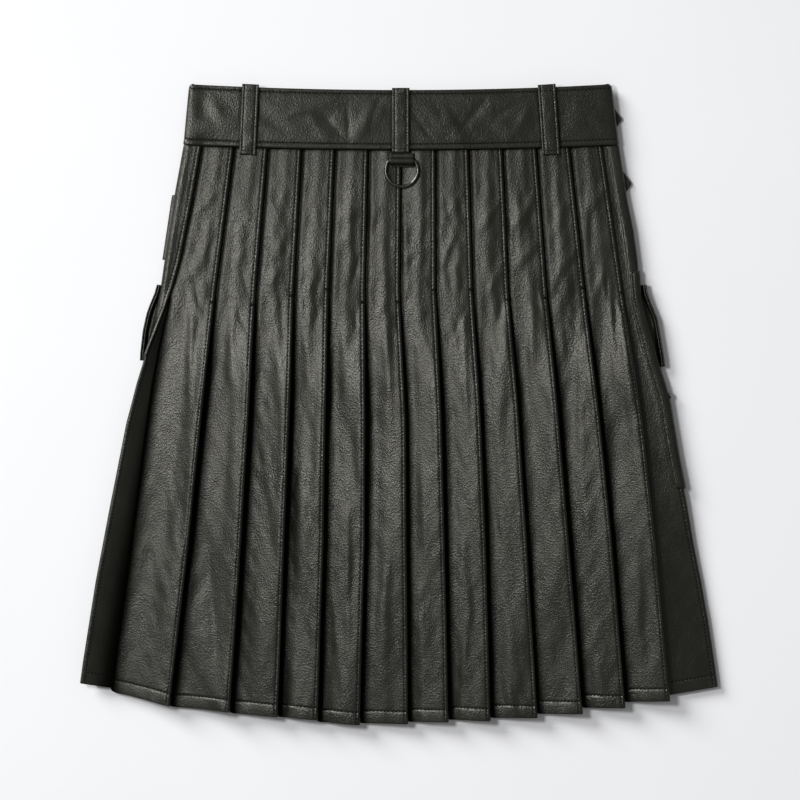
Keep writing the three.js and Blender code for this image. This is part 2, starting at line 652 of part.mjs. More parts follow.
function dRing() {
  const points = [];
  const start = Math.asin(RING_BAR_UP / RING_RADIUS);
  for (let i = 0; i <= RING_STEPS.bow; i += 1) {
    const a = start - ((Math.PI + 2 * start) * i) / RING_STEPS.bow;
    const x = RING_CENTRE.x + RING_RADIUS * Math.cos(a);
    const y = -RING_CENTRE.drop + RING_RADIUS * Math.sin(a);
    points.push(new THREE.Vector3(x, y, RING_Z));
  }
  const halfBar = RING_RADIUS * Math.cos(start);
  for (const s of RING_STEPS.bar) {
    points.push(new THREE.Vector3(RING_CENTRE.x + s * halfBar, -RING_BAR_DROP, RING_Z));
  }
  return hoop(points, RING_WIRE, RING_WIRE, RING_STEPS.sides, new THREE.Vector3(0, 0, 1));
}

// Right pocket: a patch on the outside of the side panel, from a strip of the back round to the front
function rightPocket() {
  const rings = [0, 0.1, 0.25, 0.5, 0.75, 1].map((k) => {
    const t = lerp(POCKET.top, POCKET.foot, k);
    const shape = rightSidePath(t, LAYER);
    const face = shape.face.slice(1);
    face[0] = { x: shape.outline - POCKET.backWidth, z: face[1].z };
    const path = [...face, shape.front(SIDE_FLAT.middle), shape.front(POCKET.frontWidth)].map((p) => ({
      ...p,
      drop: lerp(bandSeam(p.x), SIDE_HEM.right[1], t),
    }));
    return wallRing(path, LEATHER);
  });
  return loft(rings);
}

const leftPocketEdge = (drop) =>
  Math.min(leftSideX(drop) + POCKET.proud, readTable(LEFT_SIDE, drop, "fold") + POCKET.pastFold);

// Left pocket: a patch under the side's front, whose edge shows just past the fold lower down
function leftPocket() {
  const rings = [0, 0.2, 0.4, 0.6, 0.8, 1].map((k) => {
    const t = lerp(POCKET.top, POCKET.foot, k);
    const drop = leftDrop(t);
    const side = leftSideX(drop);
    const edge = leftPocketEdge(drop);
    const z = FRONT_Z + SIDE_RISE * sideRiseAlong(t) - LAYER;
    const xs = [edge, edge + SIDE_FLAT.near, side + SIDE_FLAT.middle, side + POCKET.frontWidth];
    const path = xs.map((x) => ({ x, z, drop }));
    return wallRing(path, LEATHER);
  });
  return loft(rings);
}

// A pocket flap of doubled leather: flat under the pocket, then up past the side with its edge showing
function pocketFlap(rows, sign) {
  const rings = rows.map(({ drop, x }) => {
    const outer = Math.abs(x);
    const body = sign > 0 ? rightSideX(drop) : -leftSideX(drop);
    const wide = FLAP.edgeWall / 2;
    const low = { z: FLAP.frontWall / 2, wall: FLAP.frontWall };
    const path = [
      { x: body - FLAP.frontWidth, ...low },
      { x: body - SIDE_FLAT.middle, ...low },
      { x: outer - FLAP_BEND.flat, ...low },
      { x: outer - FLAP_BEND.heel, z: FLAP_BEND.heelZ, wall: FLAP_BEND.heelWall },
      { x: outer - wide - FLAP_BEND.lean, z: FLAP_BEND.leanZ, wall: FLAP.edgeWall },
      { x: outer - wide, z: FLAP.edgeTop, wall: FLAP.edgeWall },
    ];
    return wallRing(path.map((p) => ({ ...p, x: sign * p.x, drop })), FLAP.frontWall);
  });
  return loft(rings);
}

// A domed stud whose back faces the leather and whose axis points to the side
function stud(baseX, z, sign) {
  const profile = [
    [0, 0],
    [STUD.radius, 0],
    [STUD.radius, 0.35 * STUD.height],
    [0.75 * STUD.radius, 0.8 * STUD.height],
    [0, STUD.height],
  ].map(([r, h]) => new THREE.Vector2(r, h));
  const geometry = new THREE.LatheGeometry(profile, STUD.sides);
  geometry.rotateZ((-sign * Math.PI) / 2);
  geometry.translate(baseX, -STUD.drop, z);
  return geometry;
}

// Closing strap: set into the apron's edge, through the buckle, with its point past the side
function closingStrap({ tipX, tipDrop, startX }) {
  const low = STRAP.wall / 2;
  const high = SIDE_RISE - SEAM_GAP - STRAP.wall / 2;
  const buckleX = tipX - BUCKLE.tipBack;
  const rows = [
    { x: startX, z: low, width: STRAP.width },
    { x: buckleX - BUCKLE.length + STRAP_CLIMB, z: low, width: STRAP.width },
    { x: buckleX - STRAP_CLIMB, z: high, width: STRAP.width },
    { x: tipX - STRAP.point, z: high, width: STRAP.width },
    { x: tipX - STRAP.point / 2, z: high, width: STRAP.width * STRAP.shoulder },
    { x: tipX, z: high, width: STRAP.tip },
  ];
  const across = new THREE.Vector3(0, 1, 0);
  const up = new THREE.Vector3(0, 0, 1);
  return loft(
    rows.map(({ x, z, width }) => {
      const drop = tipDrop + (STRAP.slope * (tipX - x)) / (tipX - startX);
      return strapRing(new THREE.Vector3(x, -drop, z), across, up, width, STRAP.wall);
    }),
  );
}

// Buckle: a flat rectangular frame, tilted so that one bar lies over the strap and one under it
function buckle({ tipX, tipDrop, startX }) {
  const right = tipX - BUCKLE.tipBack;
  const left = right - BUCKLE.length;
  const { corner, halfHeight } = BUCKLE;
  const nick = corner * CORNER;
  const middle = tipDrop + (STRAP.slope * (tipX - (left + right) / 2)) / (tipX - startX);
  const high = SIDE_RISE - SEAM_GAP - BUCKLE.barThick;
  const zAt = (x) => lerp(high, BUCKLE.barThick, (x - left) / (right - left));
  const outline = [
    [left, -halfHeight + corner],
    [left + nick, -halfHeight + nick],
    [left + corner, -halfHeight],
    [right - corner, -halfHeight],
    [right - nick, -halfHeight + nick],
    [right, -halfHeight + corner],
    [right, halfHeight - corner],
    [right - nick, halfHeight - nick],
    [right - corner, halfHeight],
    [left + corner, halfHeight],
    [left + nick, halfHeight - nick],
    [left, halfHeight - corner],
  ];
  const points = outline.map(([x, down]) => new THREE.Vector3(x, -(middle + down), zAt(x)));
  return hoop(points, BUCKLE.barWide, BUCKLE.barThick, BUCKLE.sides, new THREE.Vector3(0, 0, 1));
}

// A small patch on the outside of the left hip, whose edge shows past the side
function hipPatch() {
  const rings = [0, 0.33, 0.67, 1].map((k) => {
    const drop = lerp(HIP_PATCH.top, HIP_PATCH.foot, k);
    const side = leftSideX(drop);
    const z = SIDE_RISE - SEAM_GAP - HIP_PATCH.wall / 2;
    const xs = [side - HIP_PATCH.proud, side + SIDE_FLAT.near, side + HIP_PATCH.inner];
    return wallRing(xs.map((x) => ({ x, z, drop })), HIP_PATCH.wall);
  });
  return loft(rings);
}

// Assembly
addPiece("pleat_00", leftSidePleat(), LEATHER_BLACK);
FOLDS.forEach((_, i) => {
  addPiece(`pleat_${String(i + 1).padStart(2, "0")}`, pleat(i), LEATHER_BLACK);
});
addPiece("pleat_13", rightSidePanel(), LEATHER_BLACK);
addPiece("over_apron", apron(overApronEdges, (inward, t) => FRONT_Z + frontLift(inward, t)), LEATHER_BLACK);
addPiece("under_apron", apron(underApronEdges, innerFrontZ), LEATHER_BLACK);
addPiece("waistband_back", bandPiece(bandBackPath), LEATHER_BLACK);
addPiece("waistband_over", bandPiece(bandOverPath), LEATHER_BLACK);
addPiece("waistband_under", bandPiece(bandUnderPath), LEATHER_BLACK);
LOOPS.forEach((loop) => addPiece(loop.name, beltLoop(loop), LEATHER_BLACK));
addPiece("d_ring_tab", ringTab(), LEATHER_BLACK);
addPiece("d_ring", dRing(), GUNMETAL);
addPiece("pocket_left", leftPocket(), LEATHER_BLACK);
addPiece("pocket_right", rightPocket(), LEATHER_BLACK);
addPiece("pocket_flap_left", pocketFlap(FLAP_LEFT, -1), LEATHER_BLACK);
addPiece("pocket_flap_right", pocketFlap(FLAP_RIGHT, 1), LEATHER_BLACK);
const rightStudX = rightSideX(STUD.drop) + LAYER + SEAM_GAP;
addPiece("stud_right", stud(rightStudX, FRONT_Z + SIDE_RISE + SIDE_TURN, 1), GUNMETAL);
const leftStudX = leftPocketEdge(STUD.drop) - 3 * SEAM_GAP;
addPiece("stud_left", stud(leftStudX, STUD.radius, -1), GUNMETAL);
addPiece("hip_patch_left", hipPatch(), LEATHER_BLACK);
for (const strap of STRAPS) {
  addPiece(`strap_${strap.name}`, closingStrap(strap), STRAP_BLACK);
  addPiece(`buckle_${strap.name}`, buckle(strap), GUNMETAL);
}

// The origin is the middle of the underside's outline box.
const box = new THREE.Box3().setFromObject(kilt);
const middle = box.getCenter(new THREE.Vector3());
kilt.position.set(-middle.x, -middle.y, -box.min.z);

export default kilt;
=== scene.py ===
# Leather utility kilt lying flat, back up: knife pleats, band, loops, D-ring, side pockets and straps.
import math

import bpy
import numpy as np
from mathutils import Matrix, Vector


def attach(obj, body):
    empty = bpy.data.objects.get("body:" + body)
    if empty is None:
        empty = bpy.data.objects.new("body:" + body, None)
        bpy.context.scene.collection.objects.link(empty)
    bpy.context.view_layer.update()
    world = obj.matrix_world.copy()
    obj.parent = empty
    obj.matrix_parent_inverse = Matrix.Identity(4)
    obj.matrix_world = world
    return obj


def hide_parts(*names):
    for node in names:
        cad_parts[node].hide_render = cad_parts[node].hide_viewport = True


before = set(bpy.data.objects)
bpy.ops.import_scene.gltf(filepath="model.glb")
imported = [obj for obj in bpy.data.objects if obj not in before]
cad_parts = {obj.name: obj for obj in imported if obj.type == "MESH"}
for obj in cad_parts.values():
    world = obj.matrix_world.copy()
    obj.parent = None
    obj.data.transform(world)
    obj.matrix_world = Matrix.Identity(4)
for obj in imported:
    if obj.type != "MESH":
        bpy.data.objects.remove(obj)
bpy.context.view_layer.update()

# Pattern sizes in millimetres: x to the wearer's right, drop down from the band's top at the centre back.
pattern = {
    "shiftX": 1.418106, "shiftY": 303.516056,  # from the pattern to the frame
    "leather": 1.4, "bandWall": 3.0, "gap": 0.3,
    "bandTopRise": 5.8, "bandSeamDrop": 57.9, "bandSeamRise": 4.5, "bandHalf": 207.0,
    "backBase": 7.0, "backHem": 6.2, "frontZ": 0.7, "sideRise": 4.4, "riseInner": 94.0, "riseOuter": 72.0,
    "overEdge": 86.0, "sideWaist": 80.0, "sideHem": 95.0, "depthWaist": 15.0, "depthHem": 25.0,
    "fellEnd": 0.26, "liftFull": 0.44, "hemMiddle": 612.0, "hemRise": 36.0, "hemHalf": 300.0, "hemPower": 2.2,
    "frontUp": 6.0,
    "levelIn": 8.0, "midIn": 30.0,  # from the side: where its height is read, and a point on the front
}
layer = pattern["leather"] + pattern["gap"]

foldDrops = [58, 193, 318, 434, 580]
# each fold: its x at those drops, the hem's drop at the panel's left and right, and how far it stands up
folds = [
    ([-161.3, -178.5, -192.0, -203.6, -221.0], (579.0, 594.4), 9.0),
    ([-128.5, -139.9, -146.7, -153.4, -163.1], (592.5, 600.2), 8.5),
    ([-95.7, -103.3, -107.1, -111.9, -117.7], (599.3, 605.0), 7.5),
    ([-63.7, -69.5, -72.4, -74.3, -79.1], (603.1, 608.0), 6.5),
    ([-31.3, -34.7, -33.8, -34.7, -38.6], (608.0, 612.8), 6.0),
    ([0.3, -1.0, 4.8, 5.8, 6.8], (610.8, 611.8), 5.0),
    ([33.5, 33.8, 39.6, 42.5, 45.4], (610.0, 610.0), 5.5),
    ([65.4, 69.5, 77.2, 82.0, 85.9], (607.0, 609.0), 5.5),
    ([98.2, 104.2, 113.9, 121.6, 130.3], (606.0, 606.0), 5.0),
    ([131.0, 140.9, 152.5, 162.1, 173.7], (602.2, 602.2), 6.0),
    ([163.1, 177.6, 192.0, 203.6, 215.2], (596.4, 596.4), 6.0),
    ([194.9, 214.2, 232.6, 245.1, 258.6], (591.5, 589.6), 7.0),
]
leftHem, rightHem = (572.2, 578.0), (585.8, 576.2)
# left side pleat: drop, side, fold, height of the fold, sewn edge
leftSide = np.array([
    (53, -210.0, -192.5, 10.4, -203.5), (106, -219.5, -201.7, 10.4, -213.0), (164, -228.2, -213.3, 10.4, -223.0),
    (188, -231.8, -220.0, 10.6, -226.0), (209, -236.5, -227.3, 13.4, -225.0), (230, -241.5, -235.4, 16.6, -229.8),
    (253, -246.2, -244.6, 17.6, -234.5), (282, -251.0, -254.5, 15.5, -240.0), (320, -257.0, -264.8, 14.2, -245.3),
    (396, -268.5, -279.9, 14.0, -254.8), (473, -282.0, -294.3, 14.0, -265.4), (550, -295.5, -306.4, 13.4, -276.0),
    (578, -299.5, -310.2, 13.2, -279.0)])
# outline of the right side: drop, x
rightSide = np.array([
    (53, 210.6), (106, 219.0), (135, 225.0), (164, 229.0), (202, 231.4), (219, 235.7), (240, 242.0), (260, 246.7),
    (280, 253.1), (299, 258.8), (318, 261.9), (357, 268.5), (396, 276.3), (434, 282.7), (473, 290.5), (511, 297.2),
    (550, 303.0), (579, 307.0)])


def lerp(a, b, k):
    return a + (b - a) * k


def clamp(k):
    return np.clip(k, 0, 1)


def ease(k):
    k = clamp(k)
    return k * k * (3 - 2 * k)


def fade(value, start, length):  # 0 up to start, then softly to 1 over that length
    return ease((value - start) / length)


def readTable(table, drop, column):  # straight-line reading; past the ends the last slope goes on
    d, v = table[:, 0], table[:, column]
    i = min(max(int(np.searchsorted(d, drop)) - 1, 0), len(d) - 2)
    return lerp(v[i], v[i + 1], (drop - d[i]) / (d[i + 1] - d[i]))


def bandTop(x):
    return -pattern["bandTopRise"] * (x / pattern["bandHalf"]) ** 2


def bandSeam(x):
    return pattern["bandSeamDrop"] - pattern["bandSeamRise"] * (x / pattern["bandHalf"]) ** 2


def backBase(t):
    return lerp(pattern["backBase"], pattern["backHem"], fade(t, 0.62, 0.3))


def freeLift(t):
    return fade(t, pattern["fellEnd"], pattern["liftFull"] - pattern["fellEnd"])


def pleatDepth(t):
    return lerp(pattern["depthWaist"], pattern["depthHem"], t)


def sideWidth(t):
    return lerp(pattern["sideWaist"], pattern["sideHem"], t)


def riseAlong(t):
    return lerp(1, 0.12, fade(t, 0.62, 0.2))


def riseAcross(inward):
    return 1 - fade(inward, pattern["riseOuter"], pattern["riseInner"] - pattern["riseOuter"])


def frontLift(inward, t):
    return pattern["sideRise"] * riseAlong(t) * riseAcross(inward)


def innerFront(inward, t):
    low, high = pattern["frontZ"] + layer, pattern["frontZ"] + pattern["sideRise"]
    return lerp(low, high, riseAlong(t) * riseAcross(inward))


def leftDrop(t):
    return lerp(leftSide[0, 0], leftHem[0], t)


def rightDrop(t):
    return lerp(rightSide[0, 0], rightHem[1], t)


def foldX(index, drop):
    return readTable(np.column_stack([foldDrops, folds[index][0]]), drop, 1)


def frontHem(x):
    back = pattern["hemMiddle"] - pattern["hemRise"] * np.abs(x / pattern["hemHalf"]) ** pattern["hemPower"]
    return back - pattern["frontUp"]


def toFrame(points):  # pattern millimetres (x, drop, z) to frame metres
    points = np.asarray(points, float)
    out = np.empty_like(points)
    out[..., 0] = (points[..., 0] + pattern["shiftX"]) / 1000
    out[..., 1] = (pattern["shiftY"] - points[..., 1]) / 1000
    out[..., 2] = points[..., 2] / 1000
    return out


def leftX(drop):
    return readTable(leftSide, drop, 1)


def rightX(drop):
    return readTable(rightSide, drop, 1)


# Mesh helpers

def unit(vectors):
    return vectors / np.maximum(np.linalg.norm(vectors, axis=-1, keepdims=True), 1e-9)


def splineRows(control, counts):  # a smooth curve through each row's control points, counts[i] steps a span
    control = np.asarray(control, float)
    padded = np.concatenate([2 * control[:, :1] - control[:, 1:2], control, 2 * control[:, -1:] - control[:, -2:-1]], 1)
    parts = []
    for i, count in enumerate(counts):
        p0, p1, p2, p3 = (padded[:, i + j] for j in range(4))
        d0, d1, d2 = (np.linalg.norm(b - a, axis=1)[:, None] ** 0.5 + 1e-6 for a, b in ((p0, p1), (p1, p2), (p2, p3)))
        m1 = (p1 - p0) / d0 - (p2 - p0) / (d0 + d1) + (p2 - p1) / d1
        m2 = (p2 - p1) / d1 - (p3 - p1) / (d1 + d2) + (p3 - p2) / d2
        m1, m2 = m1 * d1, m2 * d1
        for s in np.arange(count) / count:
            a, b = 2 * s**3 - 3 * s**2 + 1, s**3 - 2 * s**2 + s
            parts.append(a * p1 + b * m1 + (3 * s**2 - 2 * s**3) * p2 + (s**3 - s**2) * m2)
    parts.append(control[:, -1])
    return np.stack(parts, 1)


def gridNormals(grid):  # outward on a panel that runs left to right and down, as drop points down the picture
    return unit(np.cross(np.gradient(grid, axis=1), np.gradient(grid, axis=0)))


def runAcross(grid):  # how far each point lies along its row
    step = np.linalg.norm(np.diff(grid, axis=1), axis=2)
    return np.cumsum(np.concatenate([np.zeros((len(grid), 1)), step], 1), 1)


def addToScene(name, data, place=(0, 0, 0), facing=None):
    obj = bpy.data.objects.new(name, data)
    obj.location = place
    if facing is not None:
        obj.rotation_euler = Vector(facing).to_track_quat("Z", "Y").to_euler()
    bpy.context.collection.objects.link(obj)
    return obj


def makeMesh(name, points, faces):
    points = np.array(points, float)
    points[:, 2] = np.maximum(points[:, 2], 0.0)  # what lies on the floor is flat there
    mesh = bpy.data.meshes.new(name)
    mesh.from_pydata(toFrame(points).tolist(), [], faces)
    mesh.polygons.foreach_set("use_smooth", [True] * len(mesh.polygons))
    mesh.update()
    return addToScene(name, mesh)


def shellFaces(rows, columns):
    index = np.arange(rows * columns).reshape(rows, columns)
    a, b, c, d = index[:-1, :-1], index[:-1, 1:], index[1:, 1:], index[1:, :-1]
    outer = np.stack([a, d, c, b], -1).reshape(-1, 4)
    inner = np.stack([a, b, c, d], -1).reshape(-1, 4) + rows * columns
    border = np.concatenate([index[0, :], index[1:, -1], index[-1, -2::-1], index[-2:0:-1, 0]])
    following = np.roll(border, -1)
    rim = np.stack([border, following, following + rows * columns, border + rows * columns], -1)
    return np.concatenate([outer, inner, rim]).tolist()


pieces = {"leather": [], "strap_leather": [], "thread": [], "gunmetal": []}


def addPiece(obj, body, slot, node=None):
    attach(obj, body)
    if node:
        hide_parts(node)
    pieces[slot].append(obj)


def addSheet(obj, node, width, length, area, slot="leather"):  # the cut's sizes in millimetres
    addPiece(obj, "kilt", slot, node)
    width, length = (math.ceil(size * 10) / 1e4 for size in (width, length))
    area = min(area / 1e6, width * length)
    print("cut", obj.name, round(width * 1000), round(length * 1000), round(area, 4))


def markPaintedLight(obj, paintedLight):  # painted light: 0 paints shade deep under a fold, 1 leaves the leather unshaded; the leather's finish reads it
    values = np.ones(len(obj.data.vertices)) if paintedLight is None else np.tile(paintedLight.ravel(), 2)
    obj.data.attributes.new("painted_light", "FLOAT", "POINT").data.foreach_set("value", values.astype(np.float32))


rimShare = 0.45  # thickness that is left at a cut edge


def cloth(name, node, grid, wall, relief=None, paintedLight=None, soft=1.2, slot="leather"):
    # a closed shell on a grid of points; its rim thins so that the cut edges are round; its points carry the painted
    # light and shade given for it
    normal = gridNormals(grid)
    if relief is not None:
        grid = grid + normal * relief[..., None]
        normal = gridNormals(grid)
    along, down = runAcross(grid), runAcross(grid.swapaxes(0, 1)).T
    edge = np.minimum(np.minimum(along, along[:, -1:] - along), np.minimum(down, down[-1:] - down))
    k = clamp(edge / soft)
    half = wall / 2 * (rimShare + (1 - rimShare) * np.sqrt(k * (2 - k)))[..., None]
    surface, under = grid + normal * half, grid - normal * half
    points = np.concatenate([surface.reshape(-1, 3), under.reshape(-1, 3)])
    obj = makeMesh(name, points, shellFaces(*grid.shape[:2]))
    markPaintedLight(obj, paintedLight)
    cell = np.linalg.norm(np.cross(grid[1:, 1:] - grid[:-1, :-1], grid[1:, :-1] - grid[:-1, 1:]), axis=2) / 2
    addSheet(obj, node, along[:, -1].max(), down[-1].max(), cell.sum(), slot)
    return surface, normal


def ringsAround(centre, across, up, sides):
    angle = (np.arange(sides) * 2 * math.pi / sides)[None, :, None]
    return centre[:, None] + across[:, None] * np.cos(angle) + up[:, None] * np.sin(angle)


def tubeFaces(levels, sides, closed=False):
    faces = []
    for level in range(levels if closed else levels - 1):
        here, there = level * sides, (level + 1) % levels * sides
        for i in range(sides):
            j = (i + 1) % sides
            faces.append((here + i, there + i, there + j, here + j))
    return faces


def faceOut(points, faces):  # turns the faces round where the closed body they make is inside out
    # the pattern's drop points down the picture, so its volume has the opposite sign there
    total = 0.0
    for face in faces:
        first = points[face[0]]
        for b, c in zip(face[1:-1], face[2:]):
            total += float(np.dot(first, np.cross(points[b], points[c])))
    return [face[::-1] for face in faces] if total > 0 else faces


def tubeAround(name, centre, wide, thick, sides):  # a closed wire through points that lie nearly level
    centre = np.asarray(centre, float)
    along = unit(np.roll(centre, -1, 0) - np.roll(centre, 1, 0))
    across = unit(np.cross(along, (0, 0, 1)))
    points = ringsAround(centre, across * wide, np.cross(across, along) * thick, sides).reshape(-1, 3)
    return makeMesh(name, points, faceOut(points, tubeFaces(len(centre), sides, closed=True)))


stitchRule = {"pitch": 3.6, "length": 2.3, "radius": 0.5, "lift": 0.08, "sides": 6}
# a stitch's shape: share of its length, share of the radius, how far it stands out of the leather in radii
stitchShape = [(0.0, 0.35, -0.9), (0.14, 0.9, -0.25), (0.38, 1.0, 0.1), (0.62, 1.0, 0.1), (0.86, 0.9, -0.25),
               (1.0, 0.35, -0.9)]


def stitchRow(line, normal, pitch=stitchRule["pitch"], start=0.0):  # places stitches along a line of points
    run = np.concatenate([[0], np.cumsum(np.linalg.norm(np.diff(line, axis=0), axis=1))])
    places = np.arange(start + pitch / 2, run[-1] - pitch / 2, pitch)
    half = stitchRule["length"] / 2 * pitch / stitchRule["pitch"]

    def at(values, where):
        return np.stack([np.interp(where, run, values[:, i]) for i in range(3)], 1)
    return list(zip(at(line, places - half), at(line, places + half), at(normal, places)))


def whereRun(values, run, target, rows):  # what the values are in each row where its run reaches the target
    return np.array([[np.interp(target, run[r], values[r, :, i]) for i in range(3)] for r in rows])


def seamStitches(surface, normal, run, target, rows):
    return stitchRow(whereRun(surface, run, target, rows), whereRun(normal, run, target, rows))


def threads(name, stitches, radius=stitchRule["radius"]):  # one mesh of small bowed stitches
    sides, levels = stitchRule["sides"], len(stitchShape)
    start, end, up = (np.array([stitch[i] for stitch in stitches]) for i in range(3))
    up = unit(up)
    across = unit(np.cross(unit(end - start), up))
    rings = []
    for k, size, out in stitchShape:
        centre = lerp(start, end, k) + up * (stitchRule["lift"] + radius * out)
        rings.append(ringsAround(centre, across * radius * size, up * radius * size, sides))
    points = np.stack(rings, 1).reshape(-1, 3)
    each = levels * sides
    ends = [tuple(range(sides)), tuple(reversed(range(each - sides, each)))]
    stitchFaces = faceOut(points, tubeFaces(levels, sides) + ends)
    faces = [tuple(i + n * each for i in face) for n in range(len(stitches)) for face in stitchFaces]
    addPiece(makeMesh(name, points, faces), "kilt", "thread")


# Soft surface forms

waveTurn = 6.28  # one wave, in radians


def waves(x, d, seed, count, longX, longD):  # smooth irregular ups and downs, about -1 to 1
    rng = np.random.default_rng(seed)
    total = np.zeros_like(x)
    for _ in range(count):
        a, b = rng.uniform(0.4, 1.3, 2)
        slant = rng.choice([-1, 1])
        total += np.sin(waveTurn * (x * a / longX + slant * d * b / longD) + rng.uniform(0, waveTurn))
    return total / count ** 0.5 / 1.2


def crease(x, d, x0, d0, degrees, length, width, height):  # one soft ridge (or trough) that fades at its ends
    a = math.radians(degrees)
    along = (x - x0) * math.cos(a) + (d - d0) * math.sin(a)
    across = -(x - x0) * math.sin(a) + (d - d0) * math.cos(a)
    return height * np.exp(-(across / width) ** 2) * np.exp(-np.abs(along / length) ** 3)


def trough(distance, depth=0.36, width=0.85):
    return -depth * np.exp(-(distance / width) ** 2)


# The main creases of the hidden front: x, drop, direction in degrees, length, width, share of the depth
frontCreases = [(-150, 130, 62, 46, 6.0, 0.9), (-118, 96, 74, 28, 4.5, 0.6), (-92, 210, 84, 70, 8.0, 0.8),
                (-40, 120, 112, 34, 5.0, 0.7), (6, 300, 88, 90, 9.0, 0.9), (48, 150, 70, 40, 6.0, 0.6),
                (84, 236, 96, 58, 7.0, 0.8), (128, 118, 116, 42, 5.5, 0.9), (160, 330, 102, 76, 9.0, 0.7),
                (-176, 360, 80, 84, 8.0, 0.7), (-60, 450, 92, 66, 10.0, 0.6), (110, 470, 86, 72, 9.0, 0.7),
                (-4, 520, 4, 60, 6.0, 0.4)]
frontDepth = 0.28


def frontForm(x, d):  # shallow, so that the layers of the front stay clear of each other
    total = sum(crease(x, d, *row) for row in frontCreases)
    return frontDepth * clamp(total) * fade(d, 62, 20)


# Pleats

pleatLook = {
    "edgeStitch": 3.4,      # from the fold's edge
    "hemStitch": 12.0,      # from the hem
    "softWave": 0.35,       # ups and downs of the sewn part
    "looseWave": 0.9,       # and of the free part
    "fineWave": 0.13,
    "tuckBend": 0.8,        # how far the sewn part bends over its own ply
    "showBend": 1.35,       # and where it comes out from under the last fold
    "puckers": 4,
    "creases": 5,
    "diagonals": 3,
    "ridges": 3,
    "hiddenUp": 4.5,        # how much higher the hidden plies end
    "steps": [2, 2, 6, 7, 7, 7, 7, 4, 4, 4, 3],
    "showColumn": 4,        # column of the grid where the panel comes out from under the last fold
    "tuckColumn": 17,       # where it comes over its own ply
    "foldColumn": 42,       # and the fold's edge
}


def panelStart(index, drop, t):
    if index == 0:
        seam, fold = readTable(leftSide, drop, 4), readTable(leftSide, drop, 2)
        return seam - 3 * freeLift(t), max(seam, fold) + 1.5
    x = foldX(index - 1, drop)
    return x - pleatDepth(t), x + 1


def pleatControl(index, t):
    _, hem, standing = folds[index]
    drop = lerp(bandSeam(foldX(index, pattern["bandSeamDrop"])), hem[1], t)
    seam, show = panelStart(index, drop, t)
    x, base = foldX(index, drop), backBase(t)
    lift = standing * freeLift(t) * lerp(1, 0.9, t)
    top, turn, tuck = base + 2 * layer + lift, layer / 2 + 0.06 * lift, x - pleatDepth(t)
    half = pattern["leather"] / 2
    points = [
        (seam, base), (lerp(seam, show, 0.55), base), (show, base),
        (lerp(show, tuck, 0.5), base + 0.8 * layer + 0.05 * lift),
        (tuck, base + 2 * layer + 0.22 * lift),
        (lerp(tuck, x, 0.45), base + 2 * layer + 0.66 * lift),
        (x - 5, base + 2 * layer + 0.96 * lift),
        (x - turn - half, top), (x - half, top - turn), (x - turn - half, top - 2 * turn),
        (lerp(x, tuck, 0.5), lerp(top - 2 * turn, base + layer, 0.55)),
        (tuck, base + layer),
    ]
    left, right = points[0][0], max(p[0] for p in points)
    row = []
    for i, (px, z) in enumerate(points):
        hemDrop = lerp(hem[0], hem[1], clamp((px - left) / (right - left)))
        if i < 2 or i > 9:
            hemDrop -= pleatLook["hiddenUp"]
        row.append((px, lerp(bandSeam(px), hemDrop, t), z))
    return row


cutRows = (0.35, 0.8, 1.5)  # rows of points near a cut edge, this far from it


def shares(height):  # rows of a panel: even, with more at the hem stitch and the cut edges
    byStitch = [pleatLook["hemStitch"] + away for away in (-2.4, -1.4, -0.8, -0.4, 0, 0.4, 0.8, 1.4, 2.4)]
    rows = set(np.round(np.linspace(0, 1, 150), 5))
    rows |= {round(1 - off / height, 5) for off in (*cutRows, 2.6, *byStitch)}
    rows |= {round(off / height, 5) for off in cutRows}
    return np.array(sorted(rows))


def creaseKinds(hemDrop):
    # how many, column they hang from, then ranges: drop, distance left of it, direction, length, width, height
    free = [lerp(foldDrops[0], hemDrop, k) for k in (0.35, 0.95)]
    return [
        # upright ridges over the plies underneath, in the sewn part
        (pleatLook["ridges"], -12, (110, 260), (11.55, 26.4), (83, 94), (28, 60), (2.6, 5.0), (0.2, 0.6)),
        # slanting creases over the hip
        (pleatLook["diagonals"], -12, (80, 190), (8, 26), (108, 138), (9, 24), (2.4, 6.0), (0.22, 0.72)),
        # long soft folds that run down the free part
        (pleatLook["creases"], 18, free, (4, -14), (82, 96), (30, 90), (3, 7), (-0.7, 0.8)),
        # short puckers where the sewing of the folds ends
        (pleatLook["puckers"], -8, (175, 250), (4, 20), (35, 120), (7, 16), (1.6, 3.2), (-0.45, 0.4)),
    ]


def panelRelief(grid, fromFold, fromShow, fromTuck, visible, seed, t, fromHem, hemDrop):
    x, d = grid[..., 0], grid[..., 1]
    free = freeLift(t)[:, None]
    byRing = np.exp(-(((x - ring["x"]) / 24) ** 2 + ((d - 80) / 30) ** 2))
    wave = lerp(pleatLook["softWave"], pleatLook["looseWave"], free) * 0.8
    form = wave * waves(x, d, seed, 5, 42, 190) + pleatLook["fineWave"] * waves(x, d, seed + 50, 6, 15, 34)
    rng = np.random.default_rng(seed)
    for count, column, *ranges in creaseKinds(hemDrop):
        for _ in range(count):
            d0, back, *shape = (lerp(low, high, rng.random()) for low, high in ranges)
            form += crease(x, d, np.interp(d0, d[:, column], x[:, column]) - back, d0, *shape)
    width = fromShow - fromTuck  # of the part between the last fold and the panel's own ply
    bend = pleatLook["tuckBend"] * ease(fromTuck / 17)
    bend += pleatLook["showBend"] * ease(fromShow / 3.5) * (1 - ease((fromShow - 3) / (width - 3)))
    quiet = fade(d, 62, 40) * (1 - byRing)  # under the band and round the ring
    form = form * quiet * visible + bend * (1 - free) * (1 - byRing) * ease(-fromFold / 2.5)
    form += trough(fromFold + pleatLook["edgeStitch"]) * visible + trough(fromHem - pleatLook["hemStitch"], 0.5, 0.9)
    form += 0.2 * np.exp(-((fromHem - 5.5) / 4.0) ** 2)  # the turned-up hem is a little thicker
    form = np.where(fromFold > 0.6, 0, form) * ease((1.2 - fromFold) / 1.2)
    return form * fade(fromShow, -3, 3)
